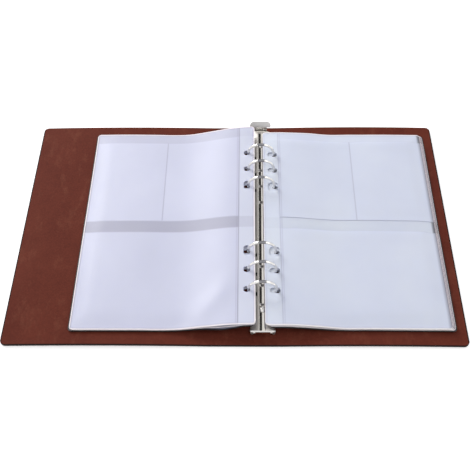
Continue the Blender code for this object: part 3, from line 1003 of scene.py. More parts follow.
    def hole(self, level: int) -> tuple[float, float, float, float]:
        """Return a sheet's punched holes as centre, half width and radius, with half the patch round them.

        A slipped sheet has its holes drawn out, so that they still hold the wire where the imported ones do.
        The closer holes of the sheets below are drawn out by the way the wire swings when the rings open.

        Args:
            level: The sheet's number from the top.

        Returns:
            The centre from the punched edge, half the width, the end radius and half the patch's width.
        """
        slip = self.slips[level - 1]
        if not self.punched_wide(level):
            back = self.side is Side.BACK
            wire, swing = (slip, self.back_swing) if back else (slip - self.front_wire, self.front_swing)
            half = self.lower_hole + self.hole_play + swing
            return self.hole_in + wire + swing, half, self.lower_hole, half + self.lower_patch
        if not slip:
            return self.hole_in, self.hole_radius, self.hole_radius, self.patch_half
        half = self.hole_radius + self.slip_share * slip
        return self.hole_in + self.slip_share * slip, half, self.hole_radius, half + self.slipped_patch

    def lines(self, level: int) -> tuple[np.ndarray, np.ndarray]:
        """Return the grid lines of a whole sheet: its rims, holes and welds, and even ones between them.

        Args:
            level: The sheet's number from the top.

        Returns:
            The lines in u and in v.
        """
        patch = np.linspace(-1.0, 1.0, self.patch_steps + 1)
        centre, _, _, reach = self.hole(level)
        rims = np.array([0.0, 0.3, 0.7, 1.4, 2.3, 3.0]) * MM
        welds = [self.seam, self.seam + self.weld, self.divider, self.width - self.outer_weld]
        borders = [self.width - self.border, self.width - self.lower_border]
        drawn = self.near(*welds, *borders)
        u = np.concatenate([rims[:-1], centre + reach * patch, drawn, self.width - rims])
        patches = (RING_YS[:, None] + self.lengths(level)[:, None] * patch).ravel()
        strips = self.near(self.upper_top, self.upper_bottom, self.lower_top)
        v = np.concatenate([self.top - rims, self.foot + rims, patches, strips])
        u = filled(np.clip(u, 0.0, self.width), self.step)
        return u, filled(np.clip(v, self.foot, self.top), self.step)

    def stroke(self, value: np.ndarray, place: float, width: float = 1.0) -> np.ndarray:
        """Return a soft line: 1 at its place, 0 from about a line's width away."""
        return smooth(1.0 - np.abs(value - place) / (2.0 * width * self.line))

    def marks(self, level: int, u: np.ndarray, v: np.ndarray) -> dict[str, np.ndarray]:
        """Return what the film is at each point, from 0 to 1.

        Args:
            level: The sheet's number from the top.
            u: Distance from the punched edge.
            v: Place along the spine.

        Returns:
            Shares of bare strip, weld line, clear border, painted shade on the outer weld, painted highlight
            on the cut rim and punched margin. The lowest sheet is a little larger, and its edge carries a
            painted shadow instead of the highlight.
        """
        lowest = level == self.count
        edge = self.edge_distance(u, v)
        top_strip = smooth((v - self.upper_top) / self.soft)
        over = smooth((v - self.lower_top) / self.soft)
        mid_strip = over * smooth((self.upper_bottom - v) / self.soft)
        bare = np.maximum(top_strip, mid_strip)
        in_body = smooth((u - self.seam) / self.soft)
        strip = np.maximum(0.45 * top_strip, mid_strip) * (0.35 + 0.65 * in_body)
        outer = self.width - (self.border if level == 1 else self.lower_border)
        border = smooth((u - outer) / self.soft) * (1.0 + 0.8 * bare)
        # Painted shade over the outer weld, darker on the bare strips; it stands partly for the dark cover
        # seen through the clear film.
        outer_shade = smooth((u - self.width + self.outer_weld) / self.shade_soft) * (0.32 + 0.35 * bare)
        # Painted shadow: a dark line along the lowest sheet's edges.
        shadow = smooth((self.shadow - edge) / self.rim_soft) if lowest else 0.0
        # Painted highlight: a bright line along the cut edges, thinner along the sides of the back sheets.
        sides = np.minimum(u, self.width - u) + self.rim_soft * self.shade_share
        ends = np.minimum(self.top - v, v - self.foot)
        rim = smooth((self.rim - np.minimum(sides, ends)) / self.rim_soft)
        upper = smooth((v - self.upper_bottom) / self.soft) * (1.0 - top_strip)
        lines = [
            self.seam_share * self.stroke(u, self.seam, 1.1),
            0.35 * self.stroke(u, self.seam + self.weld),
            0.6 * self.stroke(u, self.divider) * upper,
            0.4 * self.stroke(v, self.upper_bottom) * in_body,
            0.25 * self.stroke(v, self.upper_top) * in_body,
            0.25 * self.stroke(v, self.lower_top) * in_body,
            0.4 * self.stroke(u, outer),
            0.35 * self.stroke(edge, self.rim_line),
        ]
        return {
            "strip": strip,
            "weld": np.maximum.reduce(lines),
            "border": border,
            "shade": np.maximum(self.shade_share * outer_shade, shadow),
            "rim": 0.0 * rim if lowest else rim,
            "margin": 1.0 - in_body,
        }

    def curve(self, level: int) -> tuple[np.ndarray, np.ndarray]:
        """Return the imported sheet's resting line: stations along X and the height of its backing.

        The line is the lowest vertex of a back sheet, or the highest of a front sheet, at each station,
        eased with a Gaussian of 4 mm.

        Args:
            level: The sheet's number from the top.

        Returns:
            Stations along X and heights there.
        """
        places = np.array([v.co for v in self.nodes[self.node(level)].data.vertices])
        rounded = np.round(places[:, 0], 5)
        stations = np.unique(rounded)
        pick = np.max if self.side is Side.FRONT else np.min
        near = 0.01 * MM
        levels = np.array([pick(places[np.abs(rounded - s) < near, 2]) for s in stations])
        samples = np.arange(stations.min(), stations.max(), self.sample)
        line = np.interp(samples, stations, levels)
        steps = np.arange(1, self.ease_side + 1)
        before = line[0] + (line[0] - line[1]) * steps[::-1]
        after = line[-1] + (line[-1] - line[-2]) * steps
        return samples, eased(before, line, after, self.ease_reach)

    def ripple(self, x: np.ndarray, y: np.ndarray) -> np.ndarray:
        """Return how far the film has risen off its resting line: two slow waves, never below zero.

        The front sheets have a soft fold as well, a bell across a slanting line near the reader's corner.

        Args:
            x: Places along X.
            y: Places along Y.

        Returns:
            The rise of each point.
        """
        far = np.abs(x - RAIL_X)
        along = 0.5 + 0.5 * np.sin(y / self.wave_along + far / self.wave_across + 0.7 * self.side.value)
        cross = 0.5 + 0.5 * np.sin(far / self.cross_across - y / self.cross_along)
        out = smooth((far - self.still) / self.still_ease)
        rise = self.wave * along * (0.4 + 0.6 * out) + self.cross_wave * cross * out
        if self.side is Side.FRONT:
            lean = math.radians(self.fold_lean)
            off_x, off_y = x - self.fold_place[0], y - self.fold_place[1]
            over = math.sin(lean) * off_x - math.cos(lean) * off_y
            down = math.cos(lean) * off_x + math.sin(lean) * off_y
            run = hump(down, self.fold_middle, self.fold_run)
            rise = rise + self.fold * hump(over, 0.0, self.fold_reach) * run
        return rise

    def sag(self, level: int, u: np.ndarray, v: np.ndarray) -> np.ndarray:
        """Return how far a sheet hangs under its resting line.

        Along the free edges every sheet sinks onto the ones below it. At the reader's end the lower front
        sheets also hang down beside the rail, as a bell across u. The front sheets' inner corners perk up,
        most at the far end, and the back sheets settle there.

        Args:
            level: The sheet's number from the top.
            u: Distance from the punched edge.
            v: Place along the spine.

        Returns:
            The drop of each point.
        """
        free = np.minimum(self.width - u, np.minimum(self.top - v, v - self.foot))
        lies = smooth((u - self.bound) / self.bound_ease)
        drop = (self.count - level) * self.sink * smooth(1.0 - free / self.sink_reach) * lies
        if self.side is Side.FRONT:
            reader = smooth(1.0 - (v - self.foot) / self.end_reach)
            hang = hump(u, self.hang_place, self.hang_reach)
            hang = hang * smooth((u - self.hang_start) / self.hang_ease)
            ends = smooth(1.0 - (self.top - v) / self.end_reach) + self.near_perk * reader
            drop = drop + (level - 1) * self.droop * hang * reader
            return drop - self.perk / level * ends * smooth(1.0 - u / self.perk_reach)
        end = smooth(1.0 - (self.top - v) / self.settle_reach)
        end = end * smooth(1.0 - (u - self.settle_start) / self.settle_run)
        return drop + (self.settle * (self.count - level) + self.settle_all) * end

    def rounded(self, u: np.ndarray, v: np.ndarray) -> np.ndarray:
        """Draw the sheet's corners in: over the corner's reach, v follows a quarter circle.

        Args:
            u: Distance from the punched edge.
            v: Place along the spine.

        Returns:
            The new v.
        """
        inside = np.clip(self.corner - np.minimum(u, self.width - u), 0.0, self.corner)
        drop = self.corner - np.sqrt(self.corner**2 - inside**2)
        away = v - self.middle
        reach = self.corner_reach
        share = np.clip((np.abs(away) - (self.height / 2.0 - reach)) / reach, 0.0, 1.0)
        return v - np.sign(away) * drop * share

    def lay(self, level: int, u: np.ndarray, v: np.ndarray, lift: np.ndarray | float) -> np.ndarray:
        """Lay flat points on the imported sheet's resting line.

        Args:
            level: The sheet's number from the top.
            u: Distance from the punched edge.
            v: Place along the spine.
            lift: Height over the resting line.

        Returns:
            Points in the frame.
        """
        low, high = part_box(self.node(level))
        inner = low.x if self.side is Side.BACK else high.x
        x = inner + self.side.value * (u - self.slips[level - 1])
        y = self.rounded(u, v)
        if level == self.count:
            away = v - self.middle
            end = smooth((np.abs(away) - self.height / 2.0 + self.spare_reach) / self.spare_reach)
            y = y + self.spare * np.sign(away) * end
        stations, levels = self.curve(level)
        z = np.interp(x, stations, levels) + self.ripple(x, y) - self.sag(level, u, v) + lift
        return np.stack([x, y, z], axis=-1)

    def hole_patches(self, level: int) -> list[tuple[np.ndarray, np.ndarray]]:
        """Return the flat rings of film between each hole of a sheet and its square patch.

        A point goes in a straight line from the hole's rim to the patch's border, which is split evenly so
        that it meets the grid round it. A slot is the same ring drawn out along v.

        Args:
            level: The sheet's number from the top.

        Returns:
            The u and v of each ring's points.
        """
        side = np.linspace(-1.0, 1.0, self.patch_steps, endpoint=False)
        ones = np.ones(self.patch_steps)
        border = np.array([[side, ones, -side, -ones], [-ones, side, ones, -side]]).reshape(2, -1)
        rim = border / np.hypot(*border)
        shares = np.array([0.0, 0.06, 0.22, 0.5, 1.0])[:, None]
        rings = []
        centre, half, radius, reach = self.hole(level)
        signs = np.sign(np.round(border, 6))
        rim_u = radius * rim[0] + (half - radius) * signs[0]
        for y, length in zip(RING_YS, self.lengths(level)):
            rim_v = radius * rim[1] + (length - self.patch_half) * signs[1]
            u = (1.0 - shares) * rim_u + shares * reach * border[0]
            v = (1.0 - shares) * rim_v + shares * length * border[1]
            rings.append((centre + u, y + v))
        return rings

    def backing_sheet(self, level: int) -> bpy.types.Object:
        """Make one punched backing sheet.

        Args:
            level: The sheet's number from the top.

        Returns:
            The new piece.
        """
        u, v = self.lines(level)
        centre, _, _, reach = self.hole(level)
        grid_u, grid_v = np.meshgrid(u, v, indexing="ij")
        centre_u = (u[:-1] + u[1:])[:, None] / 2.0
        centre_v = (v[:-1] + v[1:])[None, :] / 2.0
        keep = np.ones((len(u) - 1, len(v) - 1), bool)
        for y, length in zip(RING_YS, self.lengths(level)):
            keep &= ~((np.abs(centre_u - centre) < reach) & (np.abs(centre_v - y) < length))
        lift = self.backing if self.side is Side.BACK else 0.0
        surface = Surface()
        flip = self.side is Side.FRONT
        marks = self.marks(level, grid_u, grid_v)
        surface.add_grid(self.lay(level, grid_u, grid_v, lift), flip=flip, keep=keep, marks=marks)
        for ring_u, ring_v in self.hole_patches(level):
            marks = self.marks(level, ring_u, ring_v)
            rim = np.array([1.0, 0.5, 0.0, 0.0, 0.0])[:, None]
            marks["weld"] = np.maximum(marks["weld"], 0.45 * self.seam_share * rim)
            surface.add_grid(self.lay(level, ring_u, ring_v, lift), wrap=True, flip=flip, marks=marks)
        return surface.build(self.node(level) + "_backing", [self.film], sharp=40.0, wall=self.backing)

    def pocket_sheet(self, level: int) -> bpy.types.Object:
        """Make one sleeve's pocket film: an upper panel with a divider and a lower panel.

        The film stands off the backing by the pocket's gap, which closes at each weld: the shares of how far
        away the welds are, each one eased, are multiplied. The top back sheet's pockets gape a little more.

        Args:
            level: The sheet's number from the top.

        Returns:
            The new piece.
        """
        all_u, all_v = self.lines(level)
        u = all_u[all_u >= self.seam - TINY]
        surface = Surface()
        ease = self.pocket_ease
        outer = self.width - self.outer_weld
        for low, high in ((self.upper_bottom, self.upper_top), (self.foot, self.lower_top)):
            v = all_v[(all_v >= low - TINY) & (all_v <= high + TINY)]
            grid_u, grid_v = np.meshgrid(u, v, indexing="ij")
            away = smooth((grid_u - self.seam - self.weld) / ease) * smooth((outer - grid_u) / ease)
            away = away * smooth((grid_v - low - self.weld) / ease)
            if low > self.lower_top:
                away = away * smooth((np.abs(grid_u - self.divider) - self.weld / 2.0) / ease)
            gap = self.weld_gap + (self.pocket_gap - self.weld_gap) * away
            if level == 1 and self.side is Side.BACK:
                mouth = smooth((grid_v - high + self.mouth) / self.mouth)
                gap = gap + away * (self.gape + self.mouth_gape * mouth)
            flip = self.side is Side.FRONT
            lift = -self.backing - gap if flip else self.backing + gap + self.pocket_film
            marks = self.marks(level, grid_u, grid_v)
            surface.add_grid(self.lay(level, grid_u, grid_v, lift), flip=flip, marks=marks)
        return surface.build(self.node(level) + "_pockets", [self.film], sharp=40.0, wall=self.pocket_film)

    def build(self) -> None:
        for level in range(self.count, 0, -1):
            node = self.node(level)
            body = "front_sleeves" if self.side is Side.FRONT else node
            sheet = self.backing_sheet(level)
            pockets = self.pocket_sheet(level)
            hand_over(sheet, body, node)
            hand_over(pockets, body)


@dataclass
class RingRail:
    """The arched rail: a section of two rolled hems and an elliptical arch, carried along Y."""

    nickel: bpy.types.Material
    half: float = 9.8 * MM
    end: float = 107.5 * MM
    sheet: float = 0.7 * MM
    spring: float = 4.9 * MM
    rise: float = 3.85 * MM
    hem: float = 1.6 * MM
    hem_sweep: float = 120.0
    slot_inner: float = 4.1 * MM
    slot_floor: float = 5.3 * MM
    slot_half: float = 1.7 * MM
    crown: float = 2.2 * MM
    crown_ease: float = 0.6 * MM
    step: float = 9.0 * MM

    def section(self) -> np.ndarray:
        """Return the section from the left lip over the top to the right lip, as X and Z from the middle.

        The arch is half an ellipse. Each hem is an arc that goes on from its foot, round and under.

        Returns:
            Pairs of X and Z.
        """
        angles = np.linspace(0.0, QUARTER, 33)
        floor = math.asin((self.slot_floor - self.spring) / self.rise)
        angles = np.unique(np.append(angles, [floor, math.acos(self.slot_inner / self.half)]))
        arch = np.stack([self.half * np.cos(angles), self.spring + self.rise * np.sin(angles)], axis=-1)
        sweep = np.radians(np.linspace(-self.hem_sweep, 0.0, 15))[:-1]
        hem = np.stack(
            [self.half - self.hem + self.hem * np.cos(sweep), self.spring + self.hem * np.sin(sweep)], axis=-1
        )
        right = np.concatenate([hem, arch])
        left = right[:-1] * np.array([-1.0, 1.0])
        return np.concatenate([left, right[::-1]])

    def build(self) -> None:
        """Carry the section along the rail, leave the ring slots out and give the sheet its wall."""
        section = self.section()
        edges = (RING_YS[:, None] + self.slot_half * np.array([-1.0, 1.0])).ravel()
        y = filled(np.concatenate([[-self.end, self.end], edges]), self.step)
        grid = np.empty((len(y), len(section), 3))
        grid[..., 0] = RAIL_X + section[:, 0]
        grid[..., 1] = y[:, None]
        grid[..., 2] = section[:, 1]
        middle = (section[:-1] + section[1:]) / 2.0
        middle_y = (y[:-1] + y[1:]) / 2.0
        in_slot = (np.abs(middle_y[:, None] - RING_YS) < self.slot_half).any(axis=1)
        on_flank = (np.abs(middle[:, 0]) > self.slot_inner) & (middle[:, 1] > self.slot_floor)
        flank = smooth((np.abs(section[:, 0]) - self.crown) / self.crown_ease)
        surface = Surface()
        keep = ~(in_slot[:, None] & on_flank[None, :])
        surface.add_grid(grid, keep=keep, flip=True, marks={"flank": flank})
        rail = surface.build("ring_rail_plate", [self.nickel], sharp=40.0, wall=self.sheet)
        hand_over(rail, "back_cover", "ring_rail")


@dataclass
class RingSet:
    """The twelve half rings: bent wires whose half-round tips lap side by side at the top.
    The lapped tips are drawn in darker strip steel: a painted dark reflection.
    """

    nickel: bpy.types.Material
    steel: bpy.types.Material
    centre: float = 15.1 * MM
    radius: float = 11.6 * MM
    wire: float = 1.2 * MM
    start: float = 226.0
    past_top: float = 13.0
    lap: float = 2.9 * MM
    gap: float = 0.3 * MM
    root: float = 5.95 * MM
    root_low: float = 4.45 * MM
    root_run: float = 0.9 * MM
    knee: float = 6.1 * MM
    sides: int = 20

    def path(self, side: Side) -> np.ndarray:
        """Return the wire's line: up from the blade, a quadratic bend, round the ring and past its top.

        Args:
            side: Which half.

        Returns:
            Pairs of X and Z.
        """
        angles = np.radians(np.linspace(self.start, 90.0 - self.past_top, 61))
        ring = np.stack([self.radius * np.cos(angles), self.centre + self.radius * np.sin(angles)], axis=-1)
        foot = np.array([[-self.root, self.root_low], [-self.root, self.root_low + self.root_run]])
        knee = np.array([[-self.root, self.knee]])
        share = np.linspace(0.0, 1.0, 8)[1:-1, None]
        bend = (1 - share) ** 2 * foot[1] + 2 * share * (1 - share) * knee[0] + share**2 * ring[0]
        line = np.concatenate([foot, bend, ring])
        return line * np.array([-side.value, 1.0]) + np.array([RAIL_X, 0.0])

    def half_ring(self, name: str, side: Side, y: float) -> bpy.types.Object:
        """Make one half ring.

        A circle is carried along the wire's line. Over the lap its offset along Y is held to one half, so
        that the section there is a half round, and a last row at the line closes each end.

        Args:
            name: The piece's name.
            side: Which half.
            y: The ring's place along the rail.

        Returns:
            The new piece.
        """
        line = self.path(side)
        tangent = np.gradient(line, axis=0)
        tangent = tangent / np.linalg.norm(tangent, axis=1, keepdims=True)
        normal = np.stack([-tangent[:, 1], tangent[:, 0]], axis=-1)
        lapped = side.value * (line[:, 0] - RAIL_X) < self.lap
        lapped &= line[:, 1] > self.centre
        first = int(np.argmax(lapped))
        order = np.concatenate([[0], np.arange(first + 1), np.arange(first, len(line)), [len(line) - 1]])
        scale = np.ones(len(order))
        scale[[0, -1]] = 0.0
        halved = np.zeros(len(order), bool)
        halved[first + 2 :] = True
        turns = np.linspace(0.0, TURN, self.sides, endpoint=False)
        sideways = self.wire * np.cos(turns)[None, :] * scale[:, None]
        held = -side.value * np.maximum(-side.value * sideways, self.gap / 2.0)
        sideways = np.where(halved[:, None], held, sideways)
        outwards = self.wire * np.sin(turns)[None, :] * scale[:, None]
        grid = np.empty((len(order), self.sides, 3))
        grid[..., 0] = line[order, 0, None] + normal[order, 0, None] * outwards
        grid[..., 1] = y + sideways
        grid[..., 2] = line[order, 1, None] + normal[order, 1, None] * outwards
        surface = Surface()
        # The lapped tips take the darker strip steel: a painted dark reflection on the ring tops.
        ground = np.where(halved[1:] & halved[:-1], 1, 0)[:, None]
        surface.add_grid(grid, slot=ground, wrap=True, flip=side is Side.FRONT)
        return surface.build(name + "_wire", [self.nickel, self.steel], sharp=45.0)

    def build(self) -> None:
        """Make all the half rings and set them on their blades' bodies."""
        for side, word in ((Side.FRONT, "left"), (Side.BACK, "right")):
            for number, y in enumerate(RING_YS, start=1):
                node = f"{word}_half_ring_{number}"
                piece = self.half_ring(node, side, float(y))
                hand_over(piece, f"{word}_rings", node)


@dataclass
class EndLever:
    """One end lever: a blank stamped from sheet, bent up, with a rolled barrel on trunnions."""

    end: End
    satin: bpy.types.Material
    nickel: bpy.types.Material
    y: float = 106.7 * MM
    z: float = 5.3 * MM
    sheet: float = 1.0 * MM
    run: float = 0.3 * MM
    bend: float = 1.6 * MM
    tilt: float = 80.0
    stem: float = 5.0 * MM
    tab: float = 5.6 * MM
    lean: float = 60.0
    neck: float = 5.9 * MM
    half: float = 9.8 * MM
    corner: float = 4.1 * MM
    low_corner: float = 1.5 * MM
    barrel: float = 1.5 * MM
    barrel_half: float = 5.6 * MM
    trunnion: float = 0.8 * MM
    trunnion_reach: float = 7.65 * MM
    tongue_reach: float = 3.1 * MM
    tongue_half: float = 2.0 * MM
    tongue_low: float = 3.7 * MM
    tongue_high: float = 4.2 * MM
    chamfer: float = 0.3 * MM
    round_over: float = 0.3 * MM
    knee_reach: float = 2.0 * MM
    step: float = 0.7 * MM
    columns: int = 25

    @property
    def shoulder(self) -> float:
        """Where the neck ends and the tab starts, along the blank."""
        return self.run + self.bend * math.radians(self.tilt) + self.stem

    @property
    def axis(self) -> np.ndarray:
        """The middle of the lever's axis in the frame."""
        return np.array([RAIL_X, self.end.value * self.y, self.z])

    def blank_half(self, along: np.ndarray, tip: float) -> np.ndarray:
        """Return half the blank's width: the neck, then a tab whose corners are quarter circles.

        Args:
            along: Distance from the barrel's axis.
            tip: Where the tab ends.

        Returns:
            Half the width at each place.
        """
        shoulder = tip - self.tab
        below = np.clip(shoulder + self.low_corner - along, 0.0, self.low_corner)
        above = np.clip(along - (tip - self.corner), 0.0, self.corner)
        cut = self.low_corner - np.sqrt(np.maximum(self.low_corner**2 - below**2, 0.0))
        cut = cut + self.corner - np.sqrt(np.maximum(self.corner**2 - above**2, 0.0))
        return np.where(along < shoulder, self.neck, np.maximum(self.half - cut, self.neck * (along < tip)))

    def bent(self, across: np.ndarray, along: np.ndarray) -> np.ndarray:
        """Bend the blank: out of the rail, round an arc, up the neck and then leaning out along the tab.

        The slope of the blank is given along its length, and its cosine and sine are summed up to places.

        Args:
            across: Place over the blank's width.
            along: Distance from the barrel's axis.

        Returns:
            Points in the frame, on the face that is turned to the rings.
        """
        fold = self.run + self.bend * math.radians(self.tilt)
        knee = fold + self.stem
        fine = np.linspace(0.0, along.max(), 600)
        slopes = np.radians([0.0, self.tilt, self.tilt, self.lean])
        slope = np.interp(fine, [self.run, fold, knee, knee + self.knee_reach], slopes)
        step = fine[1] - fine[0]
        turn = np.interp(along, fine, slope)
        out = np.interp(along, fine, np.cumsum(np.cos(slope)) * step) - self.sheet / 2.0 * np.sin(turn)
        up = np.interp(along, fine, np.cumsum(np.sin(slope)) * step) + self.sheet / 2.0 * np.cos(turn)
        place = np.stack([across, out, up], axis=-1)
        if self.end is End.NEAR:
            place = place * np.array([-1.0, -1.0, 1.0])
        return place + self.axis

    def plate(self, name: str) -> bpy.types.Object:
        """Make the bent neck and tab: the blank's half width times a share across, bent along its length.

        Args:
            name: The piece's name.

        Returns:
            The new piece, with its wall and rounded edges.
        """
        tip = self.shoulder + self.tab
        inside = self.corner * np.sin(np.linspace(0.0, QUARTER, 12))
        low = self.low_corner * (1.0 - np.cos(np.linspace(0.0, QUARTER, 9)))
        places = np.concatenate([[0.0, self.run], tip - self.tab + low, tip - self.corner + inside])
        along = filled(places, self.step)
        share = np.linspace(-1.0, 1.0, self.columns)
        rows = np.broadcast_to(along[:, None], (len(along), self.columns))
        on_neck = np.repeat(along[:-1, None] < tip - self.tab - TINY, self.columns - 1, axis=1)
        surface = Surface()
        bent = self.bent(self.blank_half(along, tip)[:, None] * share, rows)
        surface.add_grid(bent, slot=on_neck.astype(int), flip=True)
        made = surface.build(name, [self.satin, self.nickel], sharp=40.0, wall=self.sheet)
        round_over = made.modifiers.new("round_over", "BEVEL")
        round_over.width = self.round_over
        round_over.segments = 3
        round_over.limit_method = "ANGLE"
        round_over.angle_limit = math.radians(50.0)
        return made

    def axle(self, name: str) -> bpy.types.Object:
        """Make the barrel with its trunnions, a turned profile, and the tongue, a plain block.

        Args:
            name: The piece's name.

        Returns:
            The new piece.
        """
        half = [
            (self.trunnion_reach, 0.0),
            (self.trunnion_reach, self.trunnion),
            (self.barrel_half, self.trunnion),
            (self.barrel_half, self.barrel - self.chamfer),
            (self.barrel_half - self.chamfer, self.barrel),
        ]
        profile = np.array([(-x, radius) for x, radius in half] + half[::-1])
        surface = Surface()
        surface.add_lathe(self.axis, profile, sides=24, axis=0)
        loop_x = np.array([-1.0, 1.0, 1.0, -1.0]) * self.tongue_half
        loop_z = np.array([self.tongue_low, self.tongue_low, self.tongue_high, self.tongue_high])
        reach = np.array([0.0, 0.0, self.tongue_reach, self.tongue_reach])[:, None]
        spread = np.array([0.0, 1.0, 1.0, 0.0])[:, None]
        grid = np.empty((4, 4, 3))
        grid[..., 0] = RAIL_X + spread * loop_x
        grid[..., 1] = self.end.value * (self.y - reach)
        grid[..., 2] = loop_z.mean() + spread * (loop_z - loop_z.mean())
        surface.add_grid(grid, wrap=True, flip=self.end is End.NEAR)
        return surface.build(name, [self.nickel], sharp=30.0)

    def build(self) -> None:
        """Make both pieces of the lever and set them on its body."""
        lever = f"{self.end.name.lower()}_lever"
        plate = self.plate(f"{lever}_plate")
        barrel = self.axle(f"{lever}_barrel")
        hand_over(plate, lever, lever)
        hand_over(barrel, lever)


@dataclass
class Rivet:
    """One rivet: a domed head on the rail, a shank through the cover and a flat foot in the skin."""

    end: End
    nickel: bpy.types.Material
    y: float = 88.0 * MM
    shank: float = 1.5 * MM
    head: float = 2.6 * MM
    head_low: float = 8.9 * MM
    head_rise: float = 1.1 * MM
    foot: float = 3.4 * MM
    foot_low: float = 0.1 * MM
    foot_high: float = 0.6 * MM

    def build(self) -> None:
        """Turn the profile about the rivet's axis: an elliptical dome, the shank and the foot."""
        angles = np.linspace(QUARTER, 0.0, 13)
        heights = self.head_low + self.head_rise * np.sin(angles)
        dome = np.stack([heights, self.head * np.cos(angles)], axis=-1)
        rest = [
            (self.head_low, self.shank),
            (self.foot_high, self.shank),
            (self.foot_high, self.foot),
            (self.foot_low, self.foot),
            (self.foot_low, 0.0),
        ]
        surface = Surface()
        place = (RAIL_X, self.end.value * self.y, 0.0)
        surface.add_lathe(place, np.concatenate([dome, rest]), sides=32, axis=2)
        rivet = f"{self.end.name.lower()}_rivet"
        piece = surface.build(f"{rivet}_turned", [self.nickel], sharp=40.0)
        hand_over(piece, "back_cover", rivet)


@dataclass(frozen=True)
class BoardFinish:
    """Matt paint, rolled on a studio board: an even tone that wanders a little, with next to no gloss."""

    name: str
    base: str
    other: str
    cloud_mm: float
    roughness: float
    specular: float = 0.5
    glow: float = 0.0

    def make(self) -> bpy.types.Material:
        """Make the material: one slow noise between two tones, and a white glow that keeps shadows pale.

        Returns:
            The paint.
        """
        made, tree, shader = start_material(
            self.name,
            Roughness=self.roughness,
            Specular_IOR_Level=self.specular,
            Emission_Color=linear("#FFFFFF"),
            Emission_Strength=self.glow,
        )
        where = add_node(tree, "ShaderNodeTexCoord").outputs["Object"]
        clouds = add_node(tree, "ShaderNodeTexNoise", {"Vector": where, "Scale": 1000.0 / self.cloud_mm})
        colour = add_node(
            tree,
            "ShaderNodeMix",
            {0: clouds.outputs[0], 6: linear(self.base), 7: linear(self.other)},
            data_type="RGBA",
        )
        tree.links.new(colour.outputs[2], shader.inputs["Base Color"])
        return made


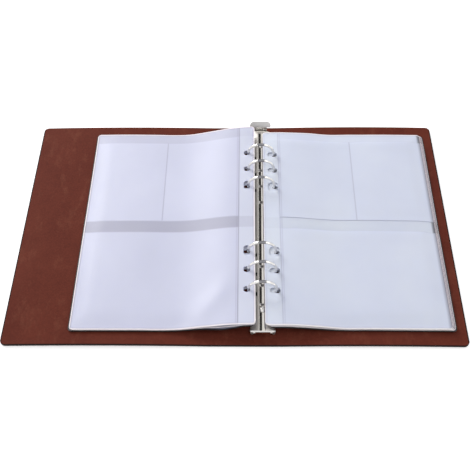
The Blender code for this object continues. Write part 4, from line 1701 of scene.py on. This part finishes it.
@dataclass
class Studio:
    """The camera at the photograph's view, a pale floor and soft light."""

    focal_px: float = 767.6
    frame_px: float = 470.0
    sensor_mm: float = 36.0
    elevation: float = 53.98
    heading: float = -1.62
    roll: float = -1.27
    place: tuple[float, float, float] = (11.1 * MM, -399.7 * MM, 538.7 * MM)
    ambient: float = 0.58
    board_sharp: float = 35.0
    floor_half: float = 4.0
    floor_drop: float = 0.3 * MM
    floor_glow: float = 0.45
    flag_x: tuple[float, float] = (-0.05, 0.065)
    flag_y: tuple[float, float] = (0.16, 0.75)
    flag_z: float = 0.6
    flag_skew: float = 0.1

    def camera(self) -> None:
        """Place the camera: its axes are the view line, a level right hand and their cross, rolled."""
        e, h, r = (math.radians(a) for a in (self.elevation, self.heading, self.roll))
        ahead = np.array([math.sin(h) * math.cos(e), math.cos(h) * math.cos(e), -math.sin(e)])
        level = np.array([math.cos(h), -math.sin(h), 0.0])
        upright = np.cross(level, ahead)
        right = math.cos(r) * level + math.sin(r) * upright
        up = math.cos(r) * upright - math.sin(r) * level
        data = bpy.data.cameras.new("camera")
        data.sensor_width = self.sensor_mm
        data.lens = self.focal_px / self.frame_px * self.sensor_mm
        data.clip_start = 0.01
        data.clip_end = 50.0
        camera = bpy.data.objects.new("camera", data)
        turn = Matrix(np.stack([right, up, -ahead], axis=-1).tolist()).to_4x4()
        camera.matrix_world = Matrix.Translation(self.place) @ turn
        bpy.context.scene.collection.objects.link(camera)
        bpy.context.scene.camera = camera

    def world(self) -> None:
        """Make the world white to the eye and in mirrors, and dimmer as light on the object."""
        made = bpy.data.worlds.new("studio")
        made.use_nodes = True
        bpy.context.scene.world = made
        tree = made.node_tree
        sky = tree.nodes["Background"]
        sky.inputs["Color"].default_value = linear("#FFFFFF")
        seen = 0.0
        ray = add_node(tree, "ShaderNodeLightPath")
        for kind in ("Is Camera Ray", "Is Glossy Ray", "Is Transmission Ray"):
            inputs = {0: seen, 1: ray.outputs[kind]}
            seen = add_node(tree, "ShaderNodeMath", inputs, operation="MAXIMUM").outputs[0]
        inputs = {"Value": seen, "To Min": self.ambient, "To Max": 1.0}
        strength = add_node(tree, "ShaderNodeMapRange", inputs)
        tree.links.new(strength.outputs[0], sky.inputs["Strength"])

    def floor(self) -> None:
        """Lay a wide pale floor just under the cover."""
        share = np.linspace(-1.0, 1.0, 3) * self.floor_half
        x, y = np.meshgrid(share, share, indexing="ij")
        surface = Surface()
        surface.add_grid(np.stack([x, y, np.full_like(x, -self.floor_drop)], axis=-1))
        paint = BoardFinish(
            "pale_floor",
            base="#F9F9F9",
            other="#FDFDFD",
            cloud_mm=500.0,
            roughness=0.95,
            specular=0.0,
            glow=self.floor_glow,
        )
        surface.build("floor", [paint.make()], self.board_sharp)

    def flag(self) -> None:
        """Hang a dark flag overhead that only mirrors see: it gives the rail its dark middle band.

        The flag is a rectangle whose X is skewed with Y, so that the band keeps to the rail's middle.
        """
        x, y = np.meshgrid(np.array(self.flag_x), np.array(self.flag_y), indexing="ij")
        x = x - self.flag_skew * (self.flag_y[1] - y)
        surface = Surface()
        surface.add_grid(np.stack([x, y, np.full_like(x, self.flag_z)], axis=-1), flip=True)
        paint = BoardFinish(
            "dark_flag", base="#0C0C0E", other="#161618", cloud_mm=250.0, roughness=0.9
        )
        flag = surface.build("dark_flag", [paint.make()], self.board_sharp)
        for ray in ("camera", "diffuse", "shadow", "transmission"):
            setattr(flag, f"visible_{ray}", False)

    @staticmethod
    def lamp(name: str, place: tuple[float, float, float], size: float, power: float) -> None:
        """Add a square soft lamp that faces the origin.

        Args:
            name: The lamp's name.
            place: Where it hangs.
            size: Its side in metres.
            power: Its power in watts.
        """
        data = bpy.data.lights.new(name, "AREA")
        data.size = size
        data.energy = power
        lamp = bpy.data.objects.new(name, data)
        lamp.location = place
        lamp.rotation_euler = (-Vector(place)).to_track_quat("-Z", "Y").to_euler()
        bpy.context.scene.collection.objects.link(lamp)

    def build(self) -> None:
        """Set up the camera, the world, the floor, the flag and the lamps."""
        bpy.context.scene.view_settings.view_transform = "Standard"
        self.camera()
        self.world()
        self.floor()
        self.flag()
        self.lamp("key", (-0.88, 0.95, 0.92), size=0.7, power=15.5)
        self.lamp("fill", (0.95, -0.3, 1.3), size=1.0, power=4.5)


def dress_blades(nodes: dict[str, bpy.types.Object], steel: bpy.types.Material) -> None:
    """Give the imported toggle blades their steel: their stamped shape is right as it is.

    Args:
        nodes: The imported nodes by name.
        steel: The strip steel.
    """
    for name in ("left_blade", "right_blade"):
        nodes[name].data.materials.clear()
        nodes[name].data.materials.append(steel)


def main() -> None:
    """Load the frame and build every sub-assembly round it."""
    logging.basicConfig(level=logging.INFO, format="%(name)s %(message)s")
    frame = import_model()
    nodes = frame["nodes"]
    Studio().build()
    finishes = Finishes.make()
    Cover(finishes, nodes).build()
    front = SleeveStack(
        Side.FRONT,
        finishes.front_film,
        nodes,
        slips=(0.0, 0.0, -1.2 * MM),
        seam_share=0.9,
        shade_share=0.0,
        height=209.5 * MM,
    )
    back = SleeveStack(
        Side.BACK,
        finishes.back_film,
        nodes,
        slips=(3.4 * MM, 1.9 * MM, 0.0, -1.7 * MM),
        seam_share=0.5,
        shade_share=1.0,
        height=208.0 * MM,
    )
    front.build()
    back.build()
    RingRail(finishes.rail).build()
    RingSet(finishes.nickel, finishes.steel).build()
    for end in End:
        EndLever(end, finishes.satin, finishes.nickel).build()
        Rivet(end, finishes.nickel).build()
    dress_blades(nodes, finishes.steel)


if __name__ == "__main__":
    main()
